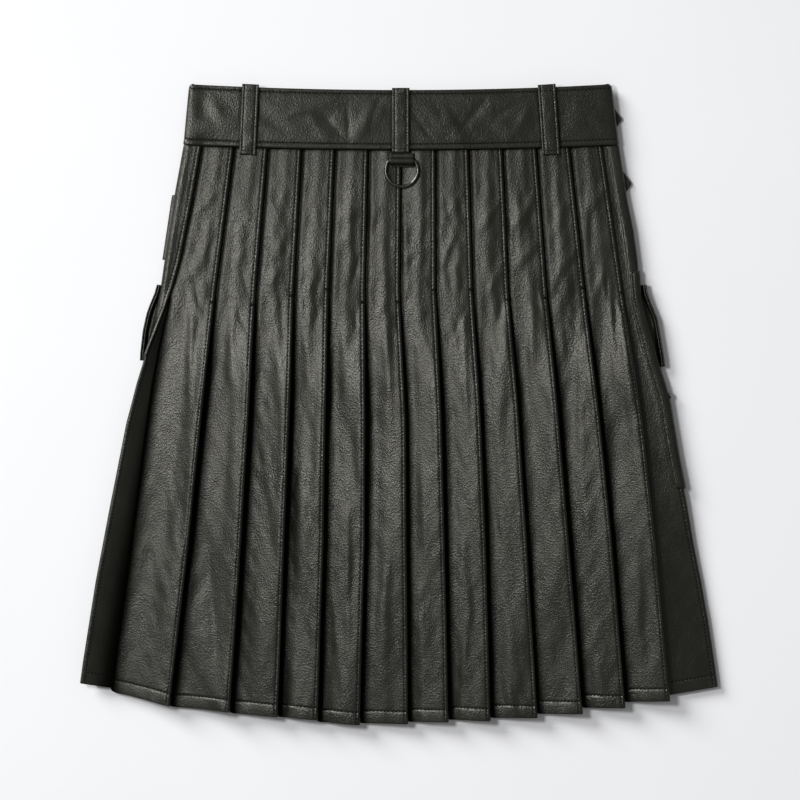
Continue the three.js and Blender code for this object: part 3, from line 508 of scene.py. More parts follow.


# painted light for a pleat: painted shade beside the last fold, on the hidden plies and under the band
def pleatPaintedLight(index, grid, fromFold, fromShow, free):
    standing = folds[max(index - 1, 0)][2]
    gap = lerp(0.6, 2.5 + standing * 1.25, np.sqrt(free))  # width of the strip of painted shadow beside the last fold
    paintedLight = ease((fromShow + 0.5) / (gap + 0.5)) ** 1.6
    paintedSewnShade = lerp(0.5, 1, ease(fromShow / 8))  # painted shade: the sewn part is darkened softly beside the last fold
    paintedSewnShade = paintedSewnShade * (1 - 0.3 * np.exp(-((grid[..., 1] - foldDrops[0]) / 48) ** 2))  # and painted shadow under the band
    # the plies past the fold are painted dark
    paintedLight = np.where(fromFold > 1.5, 0.15, paintedLight * lerp(paintedSewnShade, 1, free))
    # a painted shadow line along the band's lower edge
    underBand = np.maximum(grid[..., 1] - bandSeam(grid[..., 0]) - 0.4, 0)
    return paintedLight * (1 - 0.8 * np.exp(-(underBand / 1.3) ** 2))


ring = {"wire": 1.65, "radius": 15.5, "x": 0.8, "drop": 77.8, "barUp": 8.8, "z": 13.05, "clear": 0.3}


def underRing(stitch):  # the stitch that the ring's wire hides is left out
    middle = (stitch[0] + stitch[1]) / 2
    away = np.hypot(middle[0] - ring["x"], middle[1] - ring["drop"])
    return abs(away - ring["radius"]) < ring["wire"] + 1


def hemStitches(surface, normal, fromHem, shown, start=0.0):
    row = int(np.argmin(np.abs(fromHem[:, 0] - pleatLook["hemStitch"])))
    return stitchRow(surface[row][shown[row]], normal[row][shown[row]], start=start)


def tackStitches(surface, normal, fromFold, row):  # bar tack at the end of the sewn fold
    stitches = []
    for k in range(3):
        target = -1.4 - 0.8 * k
        ends = whereRun(surface, fromFold, target, (row, row + 1))
        stitches.append((*ends, whereRun(normal, fromFold, target, [row])[0]))
    return stitches


def buildPleat(index):
    number = index + 1
    hem = folds[index][1]
    t = shares(hem[1] - foldDrops[0])
    grid = splineRows([pleatControl(index, s) for s in t], pleatLook["steps"])
    run = runAcross(grid)
    columns = (pleatLook[key] for key in ("showColumn", "tuckColumn", "foldColumn"))
    fromShow, fromTuck, fromFold = (run - run[:, [column]] for column in columns)
    fromHem = (1 - t)[:, None] * (hem[1] - foldDrops[0])
    visible = ease(fromShow / 5) * ease(-fromFold / 2.5)
    relief = panelRelief(grid, fromFold, fromShow, fromTuck, visible, 100 + number, t, fromHem, hem[1])
    paintedLight = pleatPaintedLight(index, grid, fromFold, fromShow, freeLift(t)[:, None])
    surface, normal = cloth(f"pleat{number:02d}", f"pleat_{number:02d}", grid, pattern["leather"],
                            relief, paintedLight)
    tackDrop = 188 + 14 * math.sin(number * 2.3) ** 2
    tackRow = int(np.argmin(np.abs(grid[:, 0, 1] - tackDrop)))
    stitches = seamStitches(surface, normal, fromFold, -pleatLook["edgeStitch"], range(len(t)))
    stitches += hemStitches(surface, normal, fromHem, fromFold < -1, start=1)
    stitches += tackStitches(surface, normal, fromFold, tackRow)
    threads(f"pleat{number:02d}Thread", [stitch for stitch in stitches if not underRing(stitch)])


# Side panels

sideLook = {
    "leftSteps": [6, 12, 7, 4, 4, 6, 7, 5, 5, 5, 4], "leftFold": 51,  # and the columns of the folds
    "rightSteps": [2, 2, 9, 9, 10, 3, 3, 3, 3, 7, 12, 6], "rightFold": 38,
    "leftWave": 0.3, "rightWave": 0.16, "rightFine": 0.05,
    "frontSewnTo": 285, "backSewnFrom": 262,  # drops between which the left fold's two rows of stitches change over
    "rightStitch": 5, "rightSewnFrom": 300,
}


def leftControl(t):
    drop = leftDrop(t)
    outline, fold, foldZ, seam = (readTable(leftSide, drop, column) for column in (1, 2, 3, 4))
    half = pattern["leather"] / 2
    side, swing = outline + half, freeLift(t)

    def front(inward):
        return np.array([outline + inward, pattern["frontZ"] + frontLift(inward, t)])

    def around(sideways, forward):  # a point on the fold's turn
        return centre + left * radius * sideways + tipDir * radius * forward
    turn = lerp(2.65, 2.2, swing)
    low = front(pattern["levelIn"])[1]
    sideTop = np.array([side + lerp(turn, 0.6, swing), low + 2 * turn])
    tipDir = unit(np.array([fold - sideTop[0], foldZ - sideTop[1]]))
    left = np.array([-tipDir[1], tipDir[0]])
    radius = lerp(layer / 2, 1.3, swing)
    tip = np.array([fold - half * np.sign(fold - side), foldZ])
    centre = tip - tipDir * radius - np.array([0, lerp(radius, 0, swing)])
    end = np.array([seam, backBase(t) + layer])
    leave, arrive = around(-1, 0), around(1, 0)
    points = [front(sideWidth(t) - pattern["gap"] / 2), front(pattern["riseOuter"]), front(pattern["midIn"]),
              (side + turn, low), (side, low + turn), sideTop, lerp(sideTop, arrive, 0.5), arrive, around(0, 1), leave,
              lerp(leave, end, 0.5), end]
    row = []
    for i, (x, z) in enumerate(points):
        hem = frontHem(x) if i < 3 else lerp(leftHem[0], leftHem[1], clamp((x + 310) / 35))
        row.append((x, lerp(bandSeam(x), hem, t), z))
    return row


def buildLeftSide():
    height = leftHem[0] - leftSide[0, 0]
    t = shares(height)
    grid = splineRows([leftControl(s) for s in t], sideLook["leftSteps"])
    x, d, z = grid[..., 0], grid[..., 1], grid[..., 2]
    fold, edge = sideLook["leftFold"], pleatLook["edgeStitch"]
    run = runAcross(grid)
    fromFold = run - run[:, [fold]]
    fromHem = (1 - t)[:, None] * height
    onBack = fade(z, 6, 3) * ease(-fromFold / 2.5)
    onFront = ease((5 - z) / 2) * (fromFold < 0)
    relief = trough(np.abs(fromFold) - edge) + trough(fromHem - pleatLook["hemStitch"], 0.38, 0.9) * onBack
    relief += sideLook["leftWave"] * waves(x, d, 71, 5, 30, 60) * onBack * fade(d, 70, 30)
    relief -= frontForm(x, d) * onFront
    # below the hip the ply that runs back shows; painted shade darkens it as it falls away from the fold
    paintedReturnShade = lerp(1.0, 0.05, fade(fromFold, 9, 20)) ** 1.5
    paintedLight = np.where(fromFold > 0, lerp(0.3, paintedReturnShade, freeLift(t)[:, None]), 1.0)
    surface, normal = cloth("pleat00", "pleat_00", grid, pattern["leather"],
                            relief, paintedLight)
    stitches = []
    for target, sewn in ((-edge, d[:, fold] < sideLook["frontSewnTo"]), (edge, d[:, fold] > sideLook["backSewnFrom"])):
        stitches += seamStitches(surface, normal, fromFold, target, np.flatnonzero(sewn))
    stitches += hemStitches(surface, normal, fromHem, fromFold > 2)
    threads("pleat00Thread", stitches)


def rightShape(t, offset=0.0):  # the right side's section, or that of a layer that lies so far outside it
    drop = rightDrop(t)
    outline = rightX(drop)
    side = outline - pattern["leather"] / 2 + offset
    seam, show = panelStart(len(folds), drop, t)
    base = backBase(t)

    def front(inward):
        return (outline - inward, innerFront(inward, t) - offset)
    low, turn = front(pattern["levelIn"])[1], 1.9 + offset
    top = low + 2 * turn
    hidden = [(seam, base), (lerp(seam, show, 0.55), base), (show, base)]
    face = [(lerp(show, side, 0.45), lerp(base, top, 0.5)), (side - 9, top - 0.1), (side - turn, top),
            (side - 0.3 * turn, top - 0.3 * turn), (side, top - turn), (side - 0.3 * turn, low + 0.3 * turn),
            (side - turn, low)]
    return outline, hidden, face, front


def rightControl(t):
    _, hidden, face, front = rightShape(t)
    points = hidden + face + [front(pattern["midIn"]), front(pattern["riseOuter"]),
                              front(sideWidth(t) - pattern["gap"] / 2)]
    row = []
    for i, (x, z) in enumerate(points):
        backHem = lerp(rightHem[0], rightHem[1], clamp((x - 250) / 57))
        hem = frontHem(x) if i >= len(points) - 3 else backHem
        row.append((x, lerp(bandSeam(x), hem, t), z))
    return row


def buildRightSide():
    height = rightHem[1] - rightSide[0, 0]
    t = shares(height)
    grid = splineRows([rightControl(s) for s in t], sideLook["rightSteps"])
    x, d = grid[..., 0], grid[..., 1]
    run = runAcross(grid)
    fold, stitch = sideLook["rightFold"], sideLook["rightStitch"]
    fromShow, fromFold = run - run[:, [pleatLook["showColumn"]]], run - run[:, [fold]]
    fromHem = (1 - t)[:, None] * height
    visible = ease(fromShow / 5) * fade(-fromFold, 1, 3)
    form = sideLook["rightWave"] * waves(x, d, 81, 5, 60, 160) + sideLook["rightFine"] * waves(x, d, 82, 6, 20, 36)
    relief = form * fade(d, 66, 30)
    relief += trough(fromFold + stitch) * fade(d, sideLook["rightSewnFrom"], 20) * ease((600 - d) / 20)
    relief += trough(fromHem - pleatLook["hemStitch"], 0.38, 0.9)
    surface, normal = cloth("pleat13", "pleat_13", grid, pattern["leather"],
                            relief * visible)
    stitches = seamStitches(surface, normal, fromFold, -stitch, np.flatnonzero(d[:, fold] > sideLook["rightSewnFrom"]))
    stitches += hemStitches(surface, normal, fromHem, (fromFold < -1) & (fromShow > 0))
    threads("pleat13Thread", stitches)


print("pleats")
for index in range(len(folds)):
    buildPleat(index)
buildLeftSide()
buildRightSide()


# Aprons

apronThin = 0.98  # share of the leather's thickness


def buildApron(name, node, edges, zAt):
    rows = []
    for t in np.linspace(0, 1, 70):
        left, right, inwardOf = edges(t)
        xs = np.linspace(left, right, 80)
        rows.append([(x, lerp(bandSeam(x), frontHem(x), t), zAt(inwardOf(x), t)) for x in xs])
    grid = np.array(rows)
    relief = frontForm(grid[..., 0], grid[..., 1])
    cloth(name, node, grid, pattern["leather"] * apronThin, relief)


def overEdges(t):
    left = leftX(leftDrop(t))
    right = rightX(rightDrop(t)) - pattern["overEdge"]
    return left + sideWidth(t) + pattern["gap"] / 2, right, lambda x: x - left


def underEdges(t):
    left = leftX(leftDrop(t)) + pattern["riseInner"] + 8
    right = rightX(rightDrop(t))
    return left, right - sideWidth(t) - pattern["gap"] / 2, lambda x: right - x


print("aprons")
buildApron("overApron", "over_apron", overEdges, lambda inward, t: pattern["frontZ"] + frontLift(inward, t))
buildApron("underApron", "under_apron", underEdges, innerFront)


# Waistband and belt loops

# each loop: its piece and node, x of its middle at the top and foot, drops of the ends, width
loops = [("loopLeft", "belt_loop_left", -144.9, -148.0, -5.4, 62.8, 16.2),
         ("loopCentre", "belt_loop_centre", -0.2, -0.2, -1.8, 60.8, 16.8),
         ("loopRight", "belt_loop_right", 140.4, 144.9, -5.2, 62.8, 17.2)]

# the band's main creases: x, drop, direction in degrees, length, width, height
bandCreases = [(-34, 30, 118, 24, 7.0, 0.8), (-25, 20, 108, 15, 3.0, -0.5), (-118, 42, 20, 26, 5.0, 0.5),
               (-190, 42, 96, 13, 8.0, 1.1), (-178, 20, 74, 18, 5.0, 0.7), (-92, 18, 162, 24, 4.0, 0.5),
               (-66, 34, 50, 15, 3.4, -0.5), (48, 30, 62, 20, 5.0, 0.45), (72, 22, 132, 16, 3.6, -0.45),
               (112, 34, 122, 22, 5.4, 0.6), (170, 26, 100, 18, 6.0, 0.5), (188, 38, 60, 12, 3.6, -0.5)]
bandLook = {
    "topStitch": 3.9, "seamStitch": 5.4, "turn": 2.0,
    "overZ": 1.5, "underZ": 4.8, "sideZ": 5.9, "backZ": 9.9,  # heights of the layers, from the floor up
    "topLeft": 204.6, "topRight": 203.6, "footLeft": 210.2, "footRight": 210.6,  # half widths
    "wave": 0.42, "fineWave": 0.16, "smallCreases": 22, "leftFall": 1.5, "quietX": (-146, -0.2, 142.5),
}


def bandEdges(k):
    corner = 3.2 * (1 - clamp(k / 0.06)) ** 2  # the top corners are rounded
    return (lerp(bandLook["topLeft"], bandLook["footLeft"], k) - corner,
            lerp(bandLook["topRight"], bandLook["footRight"], k) - corner)


def bandFront(inward, level):
    return lerp(level, bandLook["sideZ"], riseAcross(inward))


def bandBackPath(k):
    left, right = bandEdges(k)
    width = pattern["sideWaist"] - pattern["gap"] / 2
    half, turn, low, high = pattern["bandWall"] / 2, bandLook["turn"], bandLook["sideZ"], bandLook["backZ"]
    corner = [(half + turn, low), (half + 0.3 * turn, low + 0.3 * turn), (half, low + turn),
              (half + 0.3 * turn, high - 0.3 * turn), (half + turn, high)]
    points = [(width - left, bandFront(width, bandLook["overZ"])), (pattern["riseOuter"] - left, low)]
    points += [(inward - left, z) for inward, z in corner]
    points += [(s * (right if s > 0 else left), high) for s in (-0.75, -0.5, -0.25, 0, 0.25, 0.5, 0.75)]
    points += [(right - inward, z) for inward, z in reversed(corner)]
    return points + [(right - pattern["riseOuter"], low), (right - width, bandFront(width, bandLook["underZ"]))]


def bandOverPath(k):
    left, right = bandEdges(k)
    seam, inner, level = pattern["sideWaist"] + pattern["gap"] / 2, pattern["riseInner"], bandLook["overZ"]
    middle = lerp(seam, inner, 0.5)
    return [(seam - left, bandFront(seam, level)), (middle - left, bandFront(middle, level)),
            (inner - left, level), (inner + 10 - left, level), (0, level), (right - pattern["overEdge"], level)]


def bandUnderPath(k):
    left, right = bandEdges(k)
    seam, inner, level = pattern["sideWaist"] + pattern["gap"] / 2, pattern["riseInner"], bandLook["underZ"]
    return [(inner + 8 - left, level), (0, level), (right - inner, level), (right - seam, bandFront(seam, level))]


def bandRelief(grid, fromTop, fromSeam, onBack):
    x, d = grid[..., 0], grid[..., 1]
    form = bandLook["wave"] * waves(x, d, 31, 6, 90, 60) + bandLook["fineWave"] * waves(x, d, 32, 6, 26, 30)
    form += sum(crease(x, d, *row) for row in bandCreases)
    rng = np.random.default_rng(9)
    ranges = ((-195, 195), (12, 48), (20, 160), (8, 24), (1.6, 4.5), (-0.6, 0.45))
    for _ in range(bandLook["smallCreases"]):
        form += crease(x, d, *(rng.uniform(low, high) for low, high in ranges))
    form *= lerp(1, 0.35, fade(x, 140, 35))
    form *= np.sin(math.pi * clamp((fromTop - 5) / (fromTop + fromSeam - 11))) ** 0.5
    byLoop = sum(np.exp(-((x - loopX) / 11) ** 2) for loopX in bandLook["quietX"])
    leftEnd = bandLook["leftFall"] * fade(-x, 150, 44) * fade(x, -204, 15)  # it falls away a little
    sewing = trough(fromTop - bandLook["topStitch"], 0.4, 0.9) + trough(fromSeam - bandLook["seamStitch"], 0.4, 0.9)
    seamEdge = 0.25 * np.exp(-((fromSeam - 2.6) / 1.4) ** 2)
    return sewing + seamEdge + (form * clamp(1 - byLoop) - leftEnd) * onBack


def bandPaintedLight(x, d, onBack):  # painted shadow lines where the loops lie on the band
    paintedLight = np.ones_like(x)
    for _, _, topX, footX, top, foot, width in loops:
        beside = np.abs(x - lerp(topX, footX, (d - top) / (foot - top))) - width / 2
        paintedLight *= 1 - 0.85 * np.exp(-(beside - 0.5) ** 2) * onBack
    return paintedLight


def bandGrid(path, steps):
    height = pattern["bandSeamDrop"]
    byTop, bySeam = ([bandLook[key] + away for away in (-1, -0.5, 0, 0.5, 1)] for key in ("topStitch", "seamStitch"))
    rows = set(np.round(np.linspace(0, 1, 26), 4))
    rows |= {round(off / height, 4) for off in (*cutRows, *byTop)}
    rows |= {round(1 - off / height, 4) for off in (*cutRows, *bySeam)}
    ks = np.array(sorted(rows))
    control = [[(x, lerp(bandTop(x), bandSeam(x) - pattern["gap"], k), z) for x, z in path(k)] for k in ks]
    return splineRows(control, steps), ks[:, None] * height


def buildBackBand():
    grid, fromTop = bandGrid(bandBackPath, [3, 26, 2, 2, 2, 3, 14, *[26] * 6, 14, 3, 2, 2, 2, 26, 3])
    fromSeam = pattern["bandSeamDrop"] - fromTop
    onBack = fade(grid[..., 2], 9, 0.8)
    surface, normal = cloth("bandBack", "waistband_back", grid, pattern["bandWall"],
                            bandRelief(grid, fromTop, fromSeam, onBack),
                            bandPaintedLight(grid[..., 0], grid[..., 1], onBack), soft=1.8)
    stitches = []
    for away, target in ((fromTop, bandLook["topStitch"]), (fromSeam, bandLook["seamStitch"])):
        row = int(np.argmin(np.abs(away - target)))
        stitches += stitchRow(surface[row], normal[row])
    threads("bandBackThread", stitches)


def buildFrontBand(name, node, path, steps):
    cloth(name, node, bandGrid(path, steps)[0], pattern["bandWall"], soft=1.8)


print("waistband")
buildBackBand()
buildFrontBand("bandOver", "waistband_over", bandOverPath, [4, 4, 4, 26, 30])
buildFrontBand("bandUnder", "waistband_under", bandUnderPath, [30, 30, 5])


loopLook = {"wall": 2.4, "crown": 0.35, "edgeStitch": 2.7, "topStitch": 5.5, "footStitch": 4.5, "baseZ": 12.9,
            "wave": 0.12}
# how high the loop bows off the band: share of its length, height
loopBow = np.array([(0, 0), (0.1, 0.1), (0.3, 0.7), (0.5, 0.9), (0.7, 0.7), (0.9, 0.1), (1, 0)])


def acrossStrip(edge, count, insets):  # even places across a strip, with more near its edges
    return np.unique([*np.linspace(-edge, edge, count), *(s * (edge - inset) for s in (-1, 1) for inset in insets)])


def buildLoop(name, node, topX, footX, top, foot, width):
    ks = np.unique([*np.linspace(0, 1, 34), 0.005, 0.012, 0.022, 0.978, 0.988, 0.995])
    edge, length = width / 2, foot - top
    offs = acrossStrip(edge, 19, (0.3, 0.7, 1.3, 2.0, 2.4, 2.7, 3.0, 3.5))
    slope = (footX - topX) / length
    rows = []
    for k in ks:
        x, d, z = lerp(topX, footX, k), lerp(top, foot, k), loopLook["baseZ"] + readTable(loopBow, k, 1)
        rows.append([(x + off, d - off * slope, z - loopLook["crown"] * (off / edge) ** 2) for off in offs])
    grid = np.array(rows)
    fromTop = (ks * length)[:, None]
    ends = [(fromTop, loopLook["topStitch"]), (length - fromTop, loopLook["footStitch"])]
    relief = trough(edge - np.abs(offs)[None, :] - loopLook["edgeStitch"], 0.4, 0.8)
    relief = relief + loopLook["wave"] * waves(grid[..., 0], grid[..., 1], 40 + len(name), 5, 20, 22)
    relief += sum(trough(away - target, 0.3, 0.8) for away, target in ends)
    surface, normal = cloth(name, node, grid, loopLook["wall"], relief, soft=1.5)
    stitches = []
    for sign in (-1, 1):
        column = int(np.argmin(np.abs(offs - sign * (edge - loopLook["edgeStitch"]))))
        stitches += stitchRow(surface[:, column], normal[:, column], pitch=3.0)
    inner = np.abs(offs) < edge - loopLook["edgeStitch"]
    for away, target in ends:
        row = int(np.argmin(np.abs(away - target)))
        stitches += stitchRow(surface[row][inner], normal[row][inner], pitch=2.6)
    threads(f"{name}Thread", stitches)


print("belt loops")
for loop in loops:
    buildLoop(*loop)


# D-ring and its tab

tab = {"width": 23.0, "top": 61.1, "foot": 74.6, "wall": 1.4, "flatZ": 12.1, "topStitch": 1.5, "footStitch": 1.3}


def buildRing():
    start = math.asin(ring["barUp"] / ring["radius"])
    halfBar = ring["radius"] * math.cos(start)
    points = []
    for a in np.linspace(start, -math.pi - start, 73):
        x, up = ring["radius"] * math.cos(a), ring["radius"] * math.sin(a)
        points.append((ring["x"] + x, ring["drop"] - up, ring["z"]))
    for s in np.linspace(-0.93, 0.93, 13):
        points.append((ring["x"] + s * halfBar, ring["drop"] - ring["barUp"], ring["z"]))
    addPiece(tubeAround("dRing", points, ring["wire"], ring["wire"], 20), "d_ring", "gunmetal", "d_ring")


def buildTab():
    bar, flat = ring["drop"] - ring["barUp"], tab["flatZ"]
    arch = ring["wire"] + ring["clear"] + tab["wall"] / 2
    path = [(tab["top"], flat), (bar - arch - 1.2, flat + 0.1)]
    path += [(bar - arch * math.cos(a), ring["z"] + arch * math.sin(a)) for a in np.radians((10, 50, 90, 130, 170))]
    path += [(bar + arch + 1.0, flat + 0.1), (tab["foot"], flat)]
    line = splineRows([[(0, d, z) for d, z in path]], [7, 4, 4, 4, 4, 4, 4, 7])[0]
    edge = tab["width"] / 2
    offs = acrossStrip(edge, 25, (0.3, 0.7, 1.2))
    grid = np.array([[(ring["x"] + off, d, z) for off in offs] for _, d, z in line])
    surface, normal = cloth("ringTab", "d_ring_tab", grid, tab["wall"], soft=0.8)
    stitches, inside = [], np.abs(offs) < edge - 0.8
    for target in (tab["top"] + tab["topStitch"], tab["foot"] - tab["footStitch"]):
        row = int(np.argmin(np.abs(grid[:, 0, 1] - target)))
        stitches += stitchRow(surface[row][inside], normal[row][inside], pitch=2.3)
    threads("ringTabThread", stitches, radius=0.42)


print("d-ring")
buildRing()
buildTab()


# Pockets, flaps, studs and the hip patch

pocket = {"top": 0.233, "foot": 0.636, "front": 68.0, "back": 8.5, "stitch": 2.5, "stitchEnd": 212}
flap = {"front": 62.0, "frontWall": 2.3, "edgeWall": 3.2, "edgeTop": 9.2,
        "apart": 0.56, "edgeApart": 0.42,  # half the way between its two plies, and what is added at the edge
        "plyHalf": 0.52, "edgeHalf": 0.7, "rimHalf": 0.45}
# outer edges of the flaps: drop, x
flapRight = np.array([(188, 237.2), (196, 238.0), (208, 242.4), (221, 247.8), (238, 250.8), (260, 254.4), (267, 255.0)])
flapLeft = np.array([(188, -235.6), (197, -238.2), (209, -243.2), (217, -245.9), (232, -249.2), (254, -251.7),
                     (261, -252.0)])
stud = {"radius": 3.2, "height": 1.8, "drop": 295.5, "sides": 24, "up": 1.9}
studShape = [(3.0, 0.0), (3.2, 0.15), (3.2, 0.55), (3.0, 0.8), (2.5, 1.05), (2.0, 1.4), (1.2, 1.68), (0.5, 1.79)]
patch = {"top": 101.0, "foot": 163.5, "inner": 46.0, "wall": 1.6, "proud": 2.6}


def buildRightPocket():
    rows = []
    for t in np.linspace(pocket["top"], pocket["foot"], 70):
        outline, _, face, front = rightShape(t, layer)
        points = [(outline - pocket["back"], face[2][1]), *face[2:], front(pattern["midIn"]), front(pocket["front"])]
        rows.append([(x, lerp(bandSeam(x), rightHem[1], t), z) for x, z in points])
    grid = splineRows(rows, [8, 3, 3, 3, 3, 9, 12])
    run = runAcross(grid)
    sewn = ease((pocket["stitchEnd"] + 3 - grid[..., 1]) / 12)  # the stitches show only near the top
    surface, normal = cloth("pocketRight", "pocket_right", grid, pattern["leather"],
                            trough(run - pocket["stitch"], 0.3, 0.7) * sewn, soft=3.0)
    shown = np.flatnonzero(grid[:, 0, 1] < pocket["stitchEnd"])
    threads("pocketRightThread", seamStitches(surface, normal, run, pocket["stitch"], shown))


def leftPocketEdge(drop):
    return min(leftX(drop) + 2.5, readTable(leftSide, drop, 2) + 5)


def buildLeftPocket():
    rows = []
    for t in np.linspace(pocket["top"], pocket["foot"], 70):
        drop = leftDrop(t)
        z = pattern["frontZ"] + pattern["sideRise"] * riseAlong(t) - layer
        inner = leftX(drop) + pocket["front"]
        rows.append([(x, drop, z) for x in np.linspace(leftPocketEdge(drop), inner, 36)])
    cloth("pocketLeft", "pocket_left", np.array(rows), pattern["leather"])


def buildFlap(name, node, table, body):  # two plies, which part at the edge that stands up
    sign = np.sign(table[0, 1])
    wide, low = flap["edgeWall"] / 2, flap["frontWall"] / 2
    rows = []
    for drop in np.linspace(table[0, 0], table[-1, 0], 44):
        outer, side = abs(readTable(table, drop, 1)), abs(readTable(body, drop, 1))
        path = [(side - flap["front"], low), (side - pattern["midIn"], low), (outer - 10, low), (outer - 4.4, 1.25),
                (outer - wide - 0.2, 4.4), (outer - wide, flap["edgeTop"])]
        rows.append([(sign * x, drop, z) for x, z in path])
    grid = splineRows(rows, [8, 12, 6, 6, 8])
    away = gridNormals(grid) * (flap["apart"] + flap["edgeApart"] * ease(np.abs(grid[..., 2:3]) / 4))
    half = np.full((grid.shape[1], 1), flap["plyHalf"])
    half[-3:], half[-1:] = flap["edgeHalf"], flap["rimHalf"]
    points, faces = [], []
    for ply in (grid - away, grid + away):
        normal = gridNormals(ply)
        faces += [[i + len(points) for i in face] for face in shellFaces(*ply.shape[:2])]
        points += [*(ply + normal * half).reshape(-1, 3), *(ply - normal * half).reshape(-1, 3)]
    obj = makeMesh(name, points, faces)
    markPaintedLight(obj, None)
    width, length = runAcross(grid - away)[:, -1].max(), table[-1, 0] - table[0, 0] + 2
    addSheet(obj, node, width, 2 * length, 2 * width * length)


def buildStud(name, node, x, z, sign):
    sides, last = stud["sides"], (len(studShape) - 1) * stud["sides"]
    radii, heights = np.array(studShape).T
    centre = np.stack([x + sign * heights, np.full(len(heights), stud["drop"]), np.full(len(heights), z)], 1)
    rings = ringsAround(centre, np.outer(radii, (0, 1, 0)), np.outer(radii, (0, 0, 1)), sides)
    points = np.array([*rings.reshape(-1, 3), (x, stud["drop"], z), (x + sign * stud["height"], stud["drop"], z)])
    base, top = len(points) - 2, len(points) - 1
    faces = tubeFaces(len(studShape), sides)
    for i in range(sides):
        j = (i + 1) % sides
        faces += [(base, i, j), (top, last + j, last + i)]
    addPiece(makeMesh(name, points, faceOut(points, faces)), "kilt", "gunmetal", node)


def buildPatch():
    rows = []
    z = pattern["sideRise"] - pattern["gap"] - patch["wall"] / 2
    for drop in np.linspace(patch["top"], patch["foot"], 36):
        side = leftX(drop)
        rows.append([(x, drop, z) for x in np.linspace(side - patch["proud"], side + patch["inner"], 26)])
    cloth("hipPatch", "hip_patch_left", np.array(rows), patch["wall"])


print("pockets")
buildRightPocket()
buildLeftPocket()
buildFlap("flapLeft", "pocket_flap_left", flapLeft, leftSide)
buildFlap("flapRight", "pocket_flap_right", flapRight, rightSide)
buildStud("studRight", "stud_right", rightX(stud["drop"]) + layer + pattern["gap"],
          pattern["frontZ"] + pattern["sideRise"] + stud["up"], 1)
buildStud("studLeft", "stud_left", leftPocketEdge(stud["drop"]) - 3 * pattern["gap"], stud["radius"], -1)
buildPatch()


# Closing straps and buckles

# each strap: x and drop of its point, x where it starts
straps = {"Upper": (213.3, 27.8, 124.0), "Lower": (222.7, 90.1, 134.0)}
strap = {"width": 25.0, "wall": 2.2, "point": 7.7, "shoulder": 0.52, "tip": 2.0, "slope": 3.0, "climb": 6.0}
buckle = {"back": 23.5, "length": 26.0, "half": 15.4, "corner": 3.0, "wide": 1.5, "thick": 0.8}


def strapDrop(x, tipX, tipDrop, startX):  # the straps slope a little
    return tipDrop + strap["slope"] * (tipX - x) / (tipX - startX)


def buildStrap(name, node, tipX, tipDrop, startX):
    low, high = strap["wall"] / 2, pattern["sideRise"] - pattern["gap"] - strap["wall"] / 2
    right, width, point = tipX - buckle["back"], strap["width"], strap["point"]
    # x, height and width along the strap, which climbs inside its buckle
    table = np.array([(startX, low, width), (right - buckle["length"] + strap["climb"], low, width),
                      (right - strap["climb"], high, width), (tipX - point, high, width),
                      (tipX - point / 2, high, width * strap["shoulder"]), (tipX, high, strap["tip"])])
    xs = np.unique([*np.linspace(startX, tipX, 60), *np.linspace(tipX - point, tipX, 12)])
    middle, z, half = (strapDrop(xs, tipX, tipDrop, startX), np.interp(xs, table[:, 0], table[:, 1]),
                       np.interp(xs, table[:, 0], table[:, 2]) / 2)
    grid = np.array([np.stack([xs, middle + s * half, z], 1) for s in np.linspace(-1, 1, 19)])
    cloth(name, node, grid, strap["wall"], slot="strap_leather")


def buildBuckle(name, node, tipX, tipDrop, startX):  # a plain frame, tilted with one bar over and one under the strap
    right = tipX - buckle["back"]
    left = right - buckle["length"]
    middle = strapDrop((left + right) / 2, tipX, tipDrop, startX)
    corner, tall = buckle["corner"], buckle["half"] - buckle["corner"]
    outline = []
    for x, d, start in ((right - corner, tall, 0), (left + corner, tall, 90), (left + corner, -tall, 180),
                        (right - corner, -tall, 270)):
        outline += [(x + corner * math.cos(a), d + corner * math.sin(a))
                    for a in np.radians(start + np.linspace(0, 90, 8))]
    filled = []
    for (x, d), (nextX, nextD) in zip(outline, outline[1:] + outline[:1]):
        steps = max(1, int(math.hypot(nextX - x, nextD - d) / 2))
        filled += [(lerp(x, nextX, j / steps), lerp(d, nextD, j / steps)) for j in range(steps)]
    high = pattern["sideRise"] - pattern["gap"] - buckle["thick"]
    points = [(x, middle + d, lerp(high, buckle["thick"], (x - left) / (right - left))) for x, d in filled]
    addPiece(tubeAround(name, points, buckle["wide"], buckle["thick"], 12), "kilt", "gunmetal", node)


print("straps")
for which, place in straps.items():
    buildStrap(f"strap{which}", f"strap_{which.lower()}", *place)
    buildBuckle(f"buckle{which}", f"buckle_{which.lower()}", *place)


# Finishes

class Sock:  # a socket that takes part in sums
    def __init__(self, maker, socket):
        self.maker, self.socket = maker, socket

    def math(self, operation, first, second):
        return self.maker.node("ShaderNodeMath", {"operation": operation}, [first, second])

    def __add__(self, other): return self.math("ADD", self, other)
    def __radd__(self, other): return self.math("ADD", other, self)
    def __sub__(self, other): return self.math("SUBTRACT", self, other)
    def __rsub__(self, other): return self.math("SUBTRACT", other, self)
    def __mul__(self, other): return self.math("MULTIPLY", self, other)
    def __rmul__(self, other): return self.math("MULTIPLY", other, self)

    def ramp(self, low, high):  # 0 at low, 1 at high
        inputs = {"Value": self, "From Min": low, "From Max": high}
        return self.maker.node("ShaderNodeMapRange", {"clamp": True}, inputs)


